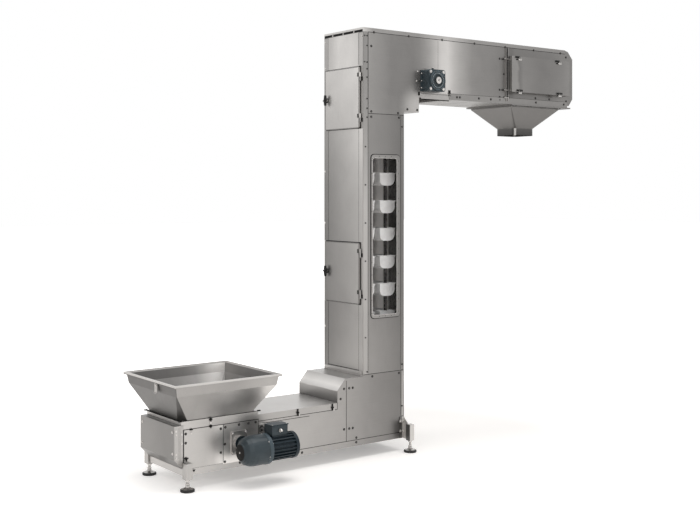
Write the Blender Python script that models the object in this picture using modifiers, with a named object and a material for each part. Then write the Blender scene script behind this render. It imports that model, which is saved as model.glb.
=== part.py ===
"""Z-type bucket elevator: base with feed hopper, window column, boom with discharge spout.

Metres, +Z up. Machine frame: X runs along the machine from the column's left face, Y from its
middle plane, Z from the floor. The empty at the end shifts it so that the box is centred.
"""
import math

import bmesh
import bpy
from mathutils import Matrix, Vector

# Clearances and sheet thicknesses
GAP = 0.0003
SHEET = 0.003
LINER = 0.002
CUT_REACH = 0.02
WELD = 0.00001
TURN_WELD = 0.0001
MITRE_LIMIT = 0.2
SMOOTH_ANGLE = 35

# Facets round each kind of turned shape
STUB_SIDES = 12
KNUCKLE_SIDES = 14
SHAFT_SIDES = 16
FOOT_SIDES = 18
BORE_SIDES = 20
WHEEL_SIDES = 24
RING_SIDES = 28
DRIVE_SIDES = 32
FLANGE_SIDES = 36
CORNER_STEPS = 3

# Casing
CASING_DEPTH = 0.552
COLUMN_WIDTH = 0.4454
TOP_Z = 3.6
LID_SKIRT = 0.035
RAIL_BOTTOM = 0.108
RAIL_TOP = 0.158
COLUMN_BOTTOM = 0.69
COLUMN_TOP = 2.88
CORNER_STRIP = 0.05
POST_WIDTH = 0.06

# Base
TAIL_X = -1.765
TAIL_SEAM_INSET = 0.076
TAIL_CHAMFER_Z = 0.234
TAIL_TOP = 0.485
TAIL_FLANGE = 0.036
BASE_SEAM_X = -0.175
DECK_TOP = 0.487
DECK_SKIRT = 0.035
DECK_END_X = -1.03
COVER_SKIRT = 0.052
HOOD_X = -0.266
HOOD_SLOPE_X = -0.184
HOOD_KNEE_Z = 0.583
HOOD_TOP = 0.678
PANEL_END_GAP = 0.006
DRIVE_PLATE_WIDTH = 0.315
PANEL_TOP = 0.45
DRIVE_PLATE_DROP = 0.008

# Boom and head
ELBOW_X = 0.616
ELBOW_BOTTOM = 2.911
BOOM_BOTTOM = 3.08
PAN_START_X = 0.97
PAN_BOTTOM = 3.04
PAN_FLANGE_TOP = 3.095
PAN_END_INSET = 0.078
BOOM_SEAM_X = 1.682
HEAD_X = 2.598
HEAD_BOTTOM = 3.06
HEAD_KNEE_LOW = 3.128
HEAD_KNEE_HIGH = 3.516
HEAD_TOP_KNEE_INSET = 0.063
HEAD_TOP_KNEE_Z = 3.586
HEAD_LOW_KNEE_INSET = 0.051
LID_END_INSET = 0.104

# Window and doors
WINDOW_X = (0.092, 0.367)
WINDOW_Z = (1.176, 2.512)
WINDOW_LAP = 0.004
RING_X = (0.084, 0.397)
RING_Z = (1.156, 2.535)
RING_DEPTH = 0.006
RING_CORNER = 0.03
CORNER_RADIUS = 0.02
DOOR_HALF = 0.2405
DOOR_LAP = 0.025
DOOR_HEIGHT = 0.515
DOOR_DEPTH = 0.012
DOOR_CORNER = 0.014
DOOR_CLEAR = 0.005
LOWER_DOOR_Z = 1.277
UPPER_DOOR_Z = 2.757
HINGE_RADIUS = 0.006
HINGE_OFFSET = 0.010
HINGE_LENGTH = 0.036
HINGE_INSET = 0.085
HINGE_LEAF_Y = (-0.003, 0.002)
HINGE_LEAF_X = -0.0042
HANDLE_Y = 0.208
HANDLE_LENGTH = 0.094
HANDLE_WIDTH = 0.018
HANDLE_HUB = 0.028
HANDLE_BAR = 0.014
HANDLE_STAND = 0.016
HANDLE_BOSS = 0.013
KEEPER_WIDTH = 0.018
KEEPER_LENGTH = 0.05
KEEPER_HEIGHT = 0.014

# Hopper
HOPPER_INSET = 0.344
HOPPER_RIM = (0.467, 0.423)
HOPPER_LIP = 0.018
HOPPER_TOP = 0.811
HOPPER_BAND_Z = 0.725
HOPPER_BAND = (0.437, 0.393)
HOPPER_FOOT = (0.334, 0.272)
HOPPER_FOOT_CUT = 0.055
HOPPER_EDGE_CUT = 0.004
HOPPER_FLANGE_TOP = 0.513
INLET = (0.29, 0.215)
HOOK_Y = -0.11
HOOK_WIDTH = 0.042
HOOK_REACH = 0.018
HOOK_LIP = 0.008

# Discharge
CHUTE_INSET = 0.437
FLANGE_MARGIN_X = (0.023, 0.121)
FLANGE_MARGIN_Y = 0.037
FLANGE_THICKNESS = 0.012
CHUTE_HALF = (0.329, 0.272)
CHUTE_RADIUS = 0.008
CHUTE_BAND = 0.012
OUTLET_HALF = 0.132
OUTLET_RADIUS = 0.04
OUTLET_TOP = 2.831
OUTLET_BOTTOM = 2.764
HEAD_COVER_INSET = (0.018, 0.108)
HEAD_COVER_Z = (3.150, 3.483)
HEAD_COVER_DEPTH = 0.06

# Bucket chain
TURN_RADIUS = 0.0975
BASE_SHAFT_Z = 0.2975
TAIL_WHEEL_INSET = 0.235
HEAD_WHEEL_INSET = 0.21
DRIVE_INSET = 0.1765
UPPER_DRIVE_X = 0.739
UPPER_DRIVE_Z = 3.19
UP_STRAND_X = 0.10
DOWN_STRAND_X = 0.325
CHAIN_HALF_HEIGHT = 0.012
CHAIN_Y = 0.177
CHAIN_WIDTH = 0.016
BUCKET_PITCH = 0.236
BUCKET_ANCHOR_Z = 2.354
BUCKET_HALF_WIDTH = 0.0815
BUCKET_RIM = 0.030
BUCKET_DROP = 0.079
BUCKET_HALF_LENGTH = 0.165
BUCKET_CORNER = 0.042
PIN_RADIUS = 0.007
PIN_SIDES = 4
SHAFT_RADIUS = 0.0125
STUB_RADIUS = 0.0175
ARC_STEPS = 6

# Drives
BEARING_HALF = (0.0695, 0.088)
BEARING_THICKNESS = 0.008
BEARING_RING = 0.055
MOTOR_Y = -0.476
MOTOR_Z = 0.268
REDUCER_SPAN = (-0.1075, 0.0925)
REDUCER_TAPER = ((0.115, 1.0), (0.115, 0.5), (0.110, 0.32), (0.097, 0.16), (0.066, 0.05), (0.066, 0.02))
REDUCER_EDGE = 0.006
MOTOR_FLANGE = 0.03
MOTOR_FLANGE_RADIUS = 0.117
MOTOR_LENGTH = 0.24
MOTOR_CAP = 0.024
MOTOR_RADIUS = 0.10
FIN_COUNT = 22
FIN_DEPTH = 0.014
NECK_RADIUS = 0.036
BEARING_SEAT = 0.044
BEARING_BOSS = 0.03
FIN_TURNS = (0.35, 0.42, 0.93)
TERMINAL_INSET = 0.02
TERMINAL_LENGTH = 0.14
TERMINAL_TOP = 0.44
TERMINAL_HALF = 0.055
TERMINAL_SEAT = 0.094
GEARBOX_HALF = 0.095
GEARBOX_FLANGE = 0.012
GEARBOX_DEPTH = 0.10
GEARBOX_COVER_RADIUS = 0.088
GEARBOX_COVER = 0.012
HUB_RADIUS = 0.03
SEAL_RADIUS = 0.05
BREATHER_RADIUS = 0.009
BREATHER_HEIGHT = 0.016

# Feet
FOOT_RADIUS = 0.055
FOOT_PAD = 0.022
FOOT_STEM = 0.011
FOOT_NECK = 0.05
FOOT_NECK_RADIUS = 0.017
FOOT_DOME = 0.036
FOOT_EDGE = 0.006
LEG_INSET = 0.0915
LEG_WIDTH = 0.055
LEG_DEPTH = 0.062
LEG_Z = (0.09, 0.21)
OUTRIGGER_INSET = 0.0034
OUTRIGGER_REACH = 0.0865
OUTRIGGER_TUBE = 0.05
OUTRIGGER_Z = (0.10, 0.235)
OUTRIGGER_ROOT_TOP = 0.29
OUTRIGGER_FLANGE = 0.05

# Places that follow from the sizes above
HALF = CASING_DEPTH / 2
TAIL_SEAM_X = TAIL_X + TAIL_SEAM_INSET
TAIL_WHEEL_X = TAIL_X + TAIL_WHEEL_INSET
LEG_X = TAIL_X + LEG_INSET
HOPPER_X = DECK_END_X - HOPPER_INSET
HEAD_TOP_KNEE_X = HEAD_X - HEAD_TOP_KNEE_INSET
HEAD_LOW_KNEE_X = HEAD_X - HEAD_LOW_KNEE_INSET
LID_END_X = HEAD_X - LID_END_INSET
HEAD_WHEEL_X = HEAD_X - HEAD_WHEEL_INSET
PAN_END_X = HEAD_X - PAN_END_INSET
CHUTE_X = PAN_END_X - CHUTE_INSET
HEAD_COVER_X = (BOOM_SEAM_X + HEAD_COVER_INSET[0], HEAD_X - HEAD_COVER_INSET[1])
PANEL_END_X = DECK_END_X - PANEL_END_GAP
PANEL_SPLIT_X = PANEL_END_X - DRIVE_PLATE_WIDTH
DRIVE_X = PANEL_END_X - DRIVE_INSET
REDUCER_X = (DRIVE_X + REDUCER_SPAN[0], DRIVE_X + REDUCER_SPAN[1])
MOTOR_X = (REDUCER_X[1], REDUCER_X[1] + MOTOR_FLANGE)
MOTOR_END_X = MOTOR_X[1] + MOTOR_LENGTH
OUTRIGGER_X = COLUMN_WIDTH - OUTRIGGER_INSET
INNER = HALF - SHEET - GAP
PLATE_Y = HALF - SHEET / 2
WHEEL_RADIUS = TURN_RADIUS - CHAIN_HALF_HEIGHT - GAP
LOWER_BASE_RUN = BASE_SHAFT_Z - TURN_RADIUS
UPPER_BASE_RUN = BASE_SHAFT_Z + TURN_RADIUS
LOWER_BOOM_RUN = UPPER_DRIVE_Z + TURN_RADIUS
HEAD_WHEEL_Z = LOWER_BOOM_RUN + TURN_RADIUS
UPPER_BOOM_RUN = HEAD_WHEEL_Z + TURN_RADIUS
LID_BOTTOM = TOP_Z - LID_SKIRT
SIDE_TOP = LID_BOTTOM - GAP

for old in list(bpy.data.objects):
    bpy.data.objects.remove(old, do_unlink=True)

machine = bpy.data.collections.new("bucket_elevator")
bpy.context.scene.collection.children.link(machine)
cutters = bpy.data.collections.new("cutters")
bpy.context.scene.collection.children.link(cutters)

origin = bpy.data.objects.new("machine_origin", None)
machine.objects.link(origin)


def material(name, color, roughness, metallic=0.0, alpha=1.0):
    """Principled material of one finish."""
    made = bpy.data.materials.new(name)
    made.use_nodes = True
    shader = made.node_tree.nodes["Principled BSDF"]
    shader.inputs["Base Color"].default_value = (*color, 1.0)
    shader.inputs["Roughness"].default_value = roughness
    shader.inputs["Metallic"].default_value = metallic
    shader.inputs["Alpha"].default_value = alpha
    return made


STEEL = material("brushed_stainless", (0.62, 0.61, 0.58), 0.38, 1.0)
BRIGHT = material("machined_steel", (0.70, 0.70, 0.69), 0.25, 1.0)
DRIVE_GREY = material("drive_grey", (0.045, 0.062, 0.085), 0.45)
BLACK = material("black_rubber", (0.02, 0.02, 0.02), 0.7)
CLEAR = material("window_sheet", (0.75, 0.80, 0.80), 0.08, 0.0, 0.35)
WHITE = material("white_bucket", (0.82, 0.82, 0.80), 0.45)


def finish(name, mesh, finish_material, parent=None, smooth=False):
    """Object of the machine collection that carries a mesh."""
    obj = bpy.data.objects.new(name, mesh)
    machine.objects.link(obj)
    obj.parent = parent or origin
    mesh.materials.clear()
    mesh.materials.append(finish_material)
    if smooth:
        mesh.shade_smooth()
        mesh.set_sharp_from_angle(angle=math.radians(SMOOTH_ANGLE))
    return obj


def mesh_of(bm, name):
    """Mesh made from a bmesh with its faces pointing out."""
    bmesh.ops.recalc_face_normals(bm, faces=bm.faces)
    if bm.calc_volume(signed=True) < 0:
        bmesh.ops.reverse_faces(bm, faces=bm.faces)
    mesh = bpy.data.meshes.new(name)
    bm.to_mesh(mesh)
    bm.free()
    return mesh


def add_block(bm, x, y, z):
    """Add a box between two corners, each axis given as (low, high)."""
    size = Vector((x[1] - x[0], y[1] - y[0], z[1] - z[0]))
    middle = Vector((x[0] + x[1], y[0] + y[1], z[0] + z[1])) / 2
    place = Matrix.Translation(middle) @ Matrix.Diagonal((*size, 1.0))
    return bmesh.ops.create_cube(bm, size=1.0, matrix=place)["verts"]


def block(name, x, y, z, finish_material):
    bm = bmesh.new()
    add_block(bm, x, y, z)
    return finish(name, mesh_of(bm, name), finish_material)


def add_cylinder(bm, start, end, radius, segments=WHEEL_SIDES):
    """Add a closed cylinder between two points."""
    start = Vector(start)
    along = Vector(end) - start
    turn = along.to_track_quat("Z", "Y").to_matrix().to_4x4()
    bmesh.ops.create_cone(
        bm, cap_ends=True, segments=segments, radius1=radius, radius2=radius, depth=along.length,
        matrix=Matrix.Translation(start + along / 2) @ turn)


TURNS = {
    "XZ": Matrix(((1, 0, 0), (0, 0, -1), (0, 1, 0))).to_4x4(),
    "YZ": Matrix(((0, 0, 1), (1, 0, 0), (0, 1, 0))).to_4x4(),
    "XY": Matrix.Identity(4),
}
NORMALS = {"XZ": Vector((0, 1, 0)), "YZ": Vector((1, 0, 0)), "XY": Vector((0, 0, 1))}


def outline_mesh(name, outlines, plane, offset, thickness):
    """Mesh of a flat outline, with its holes, extruded about a plane at an offset."""
    curve = bpy.data.curves.new(name, "CURVE")
    curve.dimensions = "2D"
    curve.fill_mode = "BOTH"
    curve.extrude = thickness / 2
    for outline in outlines:
        spline = curve.splines.new("POLY")
        spline.points.add(len(outline) - 1)
        for point, (u, v) in zip(spline.points, outline):
            point.co = (u, v, 0, 1)
        spline.use_cyclic_u = True
    guide = bpy.data.objects.new(name + "_outline", curve)
    cutters.objects.link(guide)
    bpy.context.view_layer.update()
    mesh = bpy.data.meshes.new_from_object(guide.evaluated_get(bpy.context.evaluated_depsgraph_get()))
    bpy.data.objects.remove(guide)
    bpy.data.curves.remove(curve)
    bm = bmesh.new()
    bm.from_mesh(mesh)
    bpy.data.meshes.remove(mesh)
    bmesh.ops.remove_doubles(bm, verts=bm.verts, dist=WELD)
    bm.transform(Matrix.Translation(NORMALS[plane] * offset) @ TURNS[plane])
    return mesh_of(bm, name)


def plate(name, outlines, plane, offset, thickness, finish_material, parent=None):
    return finish(name, outline_mesh(name, outlines, plane, offset, thickness), finish_material, parent)


def rectangle(u, v):
    return [(u[0], v[0]), (u[1], v[0]), (u[1], v[1]), (u[0], v[1])]


def round_rectangle(u, v, radius, steps=CORNER_STEPS):
    """Rectangle outline with round corners."""
    corners = [(u[1] - radius, v[1] - radius, 0), (u[0] + radius, v[1] - radius, 90),
               (u[0] + radius, v[0] + radius, 180), (u[1] - radius, v[0] + radius, 270)]
    points = []
    for cu, cv, start in corners:
        for step in range(steps + 1):
            angle = math.radians(start + 90 * step / steps)
            points.append((cu + radius * math.cos(angle), cv + radius * math.sin(angle)))
    return points


def circle(u, v, radius, steps=BORE_SIDES):
    return [(u + radius * math.cos(math.tau * k / steps), v + radius * math.sin(math.tau * k / steps))
            for k in range(steps)]


def cut_rectangle(half_u, half_v, cut):
    """Corner-cut rectangle about the middle, as eight points."""
    return [(half_u, half_v - cut), (half_u - cut, half_v), (cut - half_u, half_v), (-half_u, half_v - cut),
            (-half_u, cut - half_v), (cut - half_u, -half_v), (half_u - cut, -half_v), (half_u, cut - half_v)]


def folded_outline(path, thickness):
    """Outline of a sheet folded along a path, its thickness to the left of the path."""
    inner = []
    for index, (u, v) in enumerate(path):
        here = Vector((u, v))
        before = (here - Vector(path[index - 1])).normalized() if index else None
        after = (Vector(path[index + 1]) - here).normalized() if index < len(path) - 1 else None
        first = before or after
        second = after or before
        bisector = (first + second).normalized()
        left = Vector((-bisector.y, bisector.x))
        reach = thickness / max(left.dot(Vector((-first.y, first.x))), MITRE_LIMIT)
        inner.append(tuple(here + left * reach))
    return list(path) + inner[::-1]


def folded(name, path, plane, offset, width, finish_material):
    """Folded sheet of one thickness, extruded across the machine."""
    return plate(name, [folded_outline(path, SHEET)], plane, offset, width, finish_material)


def unite(target, meshes, operation="UNION"):
    """Join or cut a piece with helper meshes that stay in the cutters collection."""
    for index, mesh in enumerate(meshes):
        helper = bpy.data.objects.new(f"{target.name}_tool_{index}", mesh)
        cutters.objects.link(helper)
        helper.parent = origin
        helper.hide_render = True
        helper.display_type = "WIRE"
        modifier = target.modifiers.new(operation.lower(), "BOOLEAN")
        modifier.operation = operation
        modifier.solver = "EXACT"
        modifier.object = helper
    return target


def block_mesh(name, x, y, z):
    bm = bmesh.new()
    add_block(bm, x, y, z)
    return mesh_of(bm, name)


def cylinder_mesh(name, start, end, radius, segments=WHEEL_SIDES):
    bm = bmesh.new()
    add_cylinder(bm, start, end, radius, segments)
    return mesh_of(bm, name)


def tray(name, x, y, z, open_side, finish_material, opening=None):
    """Folded tray: a box open on one side, with an optional opening cut in its floor."""
    bm = bmesh.new()
    add_block(bm, x, y, z)
    axis = Vector(open_side)
    lid = max(bm.faces, key=lambda face: face.normal.dot(axis))
    bmesh.ops.delete(bm, geom=[lid], context="FACES_ONLY")
    mesh = bpy.data.meshes.new(name)
    bm.to_mesh(mesh)
    bm.free()
    obj = finish(name, mesh, finish_material)
    wall = obj.modifiers.new("wall", "SOLIDIFY")
    wall.thickness = SHEET
    wall.offset = -1
    wall.use_even_offset = True
    wall.use_rim = True
    if opening:
        unite(obj, [block_mesh(name + "_opening", *opening)], "DIFFERENCE")
    return obj


# Column: corner posts, left infill panels round the two doorways, front panel with window
def build_column():
    side_z = (COLUMN_BOTTOM + GAP, SIDE_TOP)
    middle = sum(side_z) / 2
    height = side_z[1] - side_z[0]
    for name, side in (("left_front_post", -1), ("left_back_post", 1)):
        outer = side * HALF
        inner = side * (HALF - SHEET)
        edge = side * (HALF - POST_WIDTH)
        outline = [(0, outer), (CORNER_STRIP, outer), (CORNER_STRIP, inner), (SHEET, inner), (SHEET, edge),
                   (0, edge)]
        post = plate(name, [outline], "XY", middle, height, STEEL)
        if side < 0:
            unite(post, [hinge_mesh(z, fixed=True) for z in hinge_heights()])
        else:
            unite(post, [keeper_mesh(door_z + DOOR_HEIGHT / 2) for door_z in (LOWER_DOOR_Z, UPPER_DOOR_Z)])
    infill = HALF - POST_WIDTH - GAP
    lower = (LOWER_DOOR_Z + DOOR_LAP, LOWER_DOOR_Z + DOOR_HEIGHT - DOOR_LAP)
    upper = (UPPER_DOOR_Z + DOOR_LAP, UPPER_DOOR_Z + DOOR_HEIGHT - DOOR_LAP)
    spans = (("left_lower_panel", side_z[0], lower[0]), ("left_middle_panel", lower[1], upper[0]),
             ("left_top_panel", upper[1], side_z[1]))
    for name, low, high in spans:
        block(name, (0, SHEET), (-infill, infill), (low, high), STEEL)
    panel_x = (CORNER_STRIP + GAP, COLUMN_WIDTH)
    panel_z = (COLUMN_BOTTOM + GAP, COLUMN_TOP - GAP)
    opening = round_rectangle(WINDOW_X, WINDOW_Z, CORNER_RADIUS)
    plate("column_front_panel", [rectangle(panel_x, panel_z), opening], "XZ", -PLATE_Y, SHEET, STEEL)
    plate("column_back_panel", [rectangle(panel_x, panel_z)], "XZ", PLATE_Y, SHEET, STEEL)
    block("column_right_panel", (COLUMN_WIDTH - SHEET, COLUMN_WIDTH), (-INNER, INNER), panel_z, STEEL)


def build_window():
    ring = round_rectangle(RING_X, RING_Z, RING_CORNER)
    lap_x = (WINDOW_X[0] + WINDOW_LAP, WINDOW_X[1] - WINDOW_LAP)
    lap_z = (WINDOW_Z[0] + WINDOW_LAP, WINDOW_Z[1] - WINDOW_LAP)
    hole = round_rectangle(lap_x, lap_z, CORNER_RADIUS - WINDOW_LAP)
    ring_y = -(HALF + GAP + RING_DEPTH / 2)
    plate("window_frame", [ring, hole], "XZ", ring_y, RING_DEPTH, STEEL)
    pane_x = (WINDOW_X[0] + GAP, WINDOW_X[1] - GAP)
    pane_z = (WINDOW_Z[0] + GAP, WINDOW_Z[1] - GAP)
    pane = round_rectangle(pane_x, pane_z, CORNER_RADIUS - GAP)
    plate("window_pane", [pane], "XZ", -PLATE_Y, SHEET, CLEAR)


# Doors on the left face, hinged on their front edge
HINGE_X = -HINGE_OFFSET
HINGE_Y = -DOOR_HALF - HINGE_OFFSET


def hinge_heights():
    return [door_z + rise for door_z in (LOWER_DOOR_Z, UPPER_DOOR_Z)
            for rise in (HINGE_INSET, DOOR_HEIGHT - HINGE_INSET)]


def keeper_mesh(z):
    """Striker block on the back post beside the door's free edge."""
    near = DOOR_HALF + DOOR_CLEAR + LINER
    return block_mesh("keeper", (-KEEPER_HEIGHT, SHEET / 2), (near, near + KEEPER_WIDTH),
                      (z - KEEPER_LENGTH / 2, z + KEEPER_LENGTH / 2))


def hinge_mesh(z, fixed):
    """Lower knuckle fixed to the post, or upper knuckle fixed to the door, with its leaf."""
    span = (z - HINGE_LENGTH, z - GAP / 2) if fixed else (z + GAP / 2, z + HINGE_LENGTH)
    leaf_z = (span[0] + GAP, span[1] - GAP)
    knuckle = cylinder_mesh("knuckle", (HINGE_X, HINGE_Y, span[0]), (HINGE_X, HINGE_Y, span[1]), HINGE_RADIUS,
                            KNUCKLE_SIDES)
    obj = bpy.data.objects.new("knuckle", knuckle)
    cutters.objects.link(obj)
    if fixed:
        leaf_y = (HINGE_Y + HINGE_LEAF_Y[0], HINGE_Y + HINGE_LEAF_Y[1])
        leaf = block_mesh("leaf", (HINGE_X, SHEET / 2), leaf_y, leaf_z)
    else:
        leaf_x = HINGE_X + HINGE_LEAF_X
        leaf = block_mesh("leaf", (leaf_x, leaf_x + SHEET), (HINGE_Y, -DOOR_HALF + SHEET / 2), leaf_z)
    helper = bpy.data.objects.new("leaf", leaf)
    cutters.objects.link(helper)
    joint = obj.modifiers.new("leaf", "BOOLEAN")
    joint.operation = "UNION"
    joint.solver = "EXACT"
    joint.object = helper
    bpy.context.view_layer.update()
    mesh = bpy.data.meshes.new_from_object(obj.evaluated_get(bpy.context.evaluated_depsgraph_get()))
    bpy.data.objects.remove(obj)
    bpy.data.objects.remove(helper)
    return mesh


def build_door(name, door_z):
    """Shallow door tray with its moving knuckles, and a turning latch handle."""
    hinge = bpy.data.objects.new(name + "_hinge_axis", None)
    machine.objects.link(hinge)
    hinge.parent = origin
    hinge.location = (HINGE_X, HINGE_Y, door_z)
    face_x = -DOOR_CLEAR - DOOR_DEPTH
    outer = round_rectangle((-DOOR_HALF, DOOR_HALF), (door_z, door_z + DOOR_HEIGHT), DOOR_CORNER)
    inner_z = (door_z + SHEET, door_z + DOOR_HEIGHT - SHEET)
    inner = round_rectangle((SHEET - DOOR_HALF, DOOR_HALF - SHEET), inner_z, DOOR_CORNER - SHEET)
    door = plate(name, [outer], "YZ", face_x + DOOR_DEPTH / 2, DOOR_DEPTH, STEEL)
    unite(door, [outline_mesh("door_hollow", [inner], "YZ", face_x + SHEET + DOOR_DEPTH / 2, DOOR_DEPTH)],
          "DIFFERENCE")
    latch_z = door_z + DOOR_HEIGHT / 2
    helpers = [hinge_mesh(door_z + rise, fixed=False) for rise in (HINGE_INSET, DOOR_HEIGHT - HINGE_INSET)]
    helpers.append(cylinder_mesh("boss", (face_x + SHEET / 2, HANDLE_Y, latch_z),
                                 (face_x - HANDLE_STAND, HANDLE_Y, latch_z), HANDLE_BOSS, SHAFT_SIDES))
    unite(door, helpers)
    shift = Matrix.Translation(-hinge.location)
    door.data.transform(shift)
    door.parent = hinge
    for modifier in door.modifiers:
        if modifier.type == "BOOLEAN":
            modifier.object.data.transform(shift)
            modifier.object.parent = hinge
    pivot = bpy.data.objects.new(name + "_latch_axis", None)
    machine.objects.link(pivot)
    pivot.parent = hinge
    pivot.location = Vector((face_x - HANDLE_STAND - GAP, HANDLE_Y, latch_z)) - hinge.location
    plate(name.replace("door", "handle"), [handle_outline()], "YZ", -HANDLE_BAR / 2, HANDLE_BAR, BLACK, pivot)


def handle_outline():
    """Waisted grip about its pivot: a wide hub that tapers to two round ends."""
    radius = HANDLE_WIDTH / 2
    half = HANDLE_LENGTH / 2 - radius
    points = []
    for side in (1, -1):
        for step in range(5):
            angle = math.radians(90 - 90 * side + 45 * step)
            points.append((radius * math.cos(angle), side * half + radius * math.sin(angle)))
        points.append((-side * HANDLE_HUB / 2, side * HANDLE_HUB / 2))
        points.append((-side * HANDLE_HUB / 2, -side * HANDLE_HUB / 2))
    return points


# Boot under the column
def wheel_tools(name, centres, side):
    """Idler wheels with their stub shafts, which a side plate carries."""
    tools = []
    for index, (x, z) in enumerate(centres):
        tools.append(cylinder_mesh(f"{name}_stub_{index}", (x, side * (CHAIN_Y - CHAIN_WIDTH / 4), z),
                                   (x, side * (HALF - SHEET / 2), z), STUB_RADIUS, STUB_SIDES))
        tools.append(cylinder_mesh(f"{name}_wheel_{index}", (x, side * (CHAIN_Y - CHAIN_WIDTH / 2), z),
                                   (x, side * (CHAIN_Y + CHAIN_WIDTH / 2), z), WHEEL_RADIUS))
    return tools


BASE_INNER_CORNER = (UP_STRAND_X - TURN_RADIUS, UPPER_BASE_RUN + TURN_RADIUS)
BOOT_CORNER = (DOWN_STRAND_X - TURN_RADIUS, BASE_SHAFT_Z)
BOOM_INNER_CORNER = (DOWN_STRAND_X + TURN_RADIUS, UPPER_DRIVE_Z)
ELBOW_CORNER = (UP_STRAND_X + TURN_RADIUS, HEAD_WHEEL_Z)
TAIL_WHEEL = (TAIL_WHEEL_X, BASE_SHAFT_Z)
HEAD_WHEEL = (HEAD_WHEEL_X, HEAD_WHEEL_Z)


def build_boot():
    left = BASE_SEAM_X + GAP
    low = RAIL_TOP + GAP
    outline = [(left, low), (COLUMN_WIDTH, low), (COLUMN_WIDTH, COLUMN_BOTTOM), (0, COLUMN_BOTTOM),
               (0, HOOD_TOP), (left, HOOD_TOP)]
    for name, side in (("boot_front_plate", -1), ("boot_back_plate", 1)):
        piece = plate(name, [outline], "XZ", side * PLATE_Y, SHEET, STEEL)
        unite(piece, wheel_tools(name, (BASE_INNER_CORNER, BOOT_CORNER), side))
    end_x = (COLUMN_WIDTH - SHEET, COLUMN_WIDTH)
    block("boot_end_plate", end_x, (-INNER, INNER), (low, COLUMN_BOTTOM), STEEL)
    cover_end = DECK_TOP - COVER_SKIRT
    path = [(HOOD_X, cover_end), (HOOD_X, HOOD_KNEE_Z), (HOOD_SLOPE_X, HOOD_TOP), (SHEET, HOOD_TOP),
            (SHEET, COLUMN_BOTTOM - GAP)]
    folded("boot_hood", path[::-1], "XZ", 0, 2 * INNER, STEEL)


# Base
def build_base():
    low = RAIL_TOP + GAP
    cover_low = DECK_TOP - COVER_SKIRT - GAP
    deck_low = DECK_TOP - DECK_SKIRT - GAP
    right = BASE_SEAM_X
    outline = [(TAIL_SEAM_X, low), (right, low), (right, HOOD_TOP), (HOOD_SLOPE_X, HOOD_TOP),
               (HOOD_X, HOOD_KNEE_Z), (HOOD_X, cover_low), (DECK_END_X, cover_low), (DECK_END_X, deck_low),
               (TAIL_SEAM_X, deck_low)]
    bore = circle(DRIVE_X, BASE_SHAFT_Z, BEARING_RING)
    sides = (("base_front_plate", -1, [outline, bore]), ("base_back_plate", 1, [outline]))
    for name, side, outlines in sides:
        piece = plate(name, outlines, "XZ", side * PLATE_Y, SHEET, STEEL)
        unite(piece, wheel_tools(name, (TAIL_WHEEL,), side))
    tray("base_pan", (TAIL_SEAM_X, COLUMN_WIDTH), (-HALF, HALF), (RAIL_BOTTOM, RAIL_TOP), (0, 0, 1), STEEL)
    inlet = ((HOPPER_X - INLET[0], HOPPER_X + INLET[0]), (-INLET[1], INLET[1]),
             (DECK_TOP - CUT_REACH, DECK_TOP + CUT_REACH))
    tray("base_deck", (TAIL_SEAM_X, DECK_END_X - GAP), (-HALF, HALF), (DECK_TOP - DECK_SKIRT, DECK_TOP),
         (0, 0, -1), STEEL, opening=inlet)
    tray("base_cover", (DECK_END_X, HOOD_X - GAP), (-HALF, HALF), (DECK_TOP - COVER_SKIRT, DECK_TOP),
         (0, 0, -1), STEEL)
    build_tail_cover()
    face_y = -(HALF + GAP + SHEET / 2)
    front_x = (TAIL_SEAM_X + GAP, PANEL_SPLIT_X - GAP)
    plate("inspection_panel", [rectangle(front_x, (low, PANEL_TOP))], "XZ", face_y, SHEET, STEEL)
    drive_x = (PANEL_SPLIT_X, PANEL_END_X)
    outline = rectangle(drive_x, (RAIL_TOP - DRIVE_PLATE_DROP, PANEL_TOP))
    bore = circle(DRIVE_X, BASE_SHAFT_Z, BEARING_RING)
    plate("drive_plate", [outline, bore], "XZ", face_y, SHEET, STEEL)


def build_tail_cover():
    """Cap over the tail end: a shell open towards the base, with a chamfered lower corner."""
    right = TAIL_SEAM_X - GAP
    outer = [(right, RAIL_TOP), (right, TAIL_TOP), (TAIL_X, TAIL_TOP), (TAIL_X, TAIL_CHAMFER_Z),
             (right - SHEET, RAIL_TOP)]
    shell = plate("tail_cover", [outer], "XZ", 0, 2 * HALF, STEEL)
    inner = [(right + SHEET, RAIL_TOP + SHEET), (right + SHEET, TAIL_TOP - SHEET),
             (TAIL_X + SHEET, TAIL_TOP - SHEET), (TAIL_X + SHEET, TAIL_CHAMFER_Z + SHEET),
             (right - 2 * SHEET, RAIL_TOP + SHEET)]
    unite(shell, [outline_mesh("tail_hollow", [inner], "XZ", 0, 2 * (HALF - SHEET))], "DIFFERENCE")
    flange_x = (TAIL_X + SHEET / 2, TAIL_X + TAIL_FLANGE)
    flange_z = (TAIL_CHAMFER_Z, TAIL_TOP - SHEET)
    for side in (-1, 1):
        flange_y = tuple(sorted((side * (HALF - SHEET / 2), side * (HALF + LINER))))
        unite(shell, [block_mesh("tail_flange", flange_x, flange_y, flange_z)])


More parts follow.
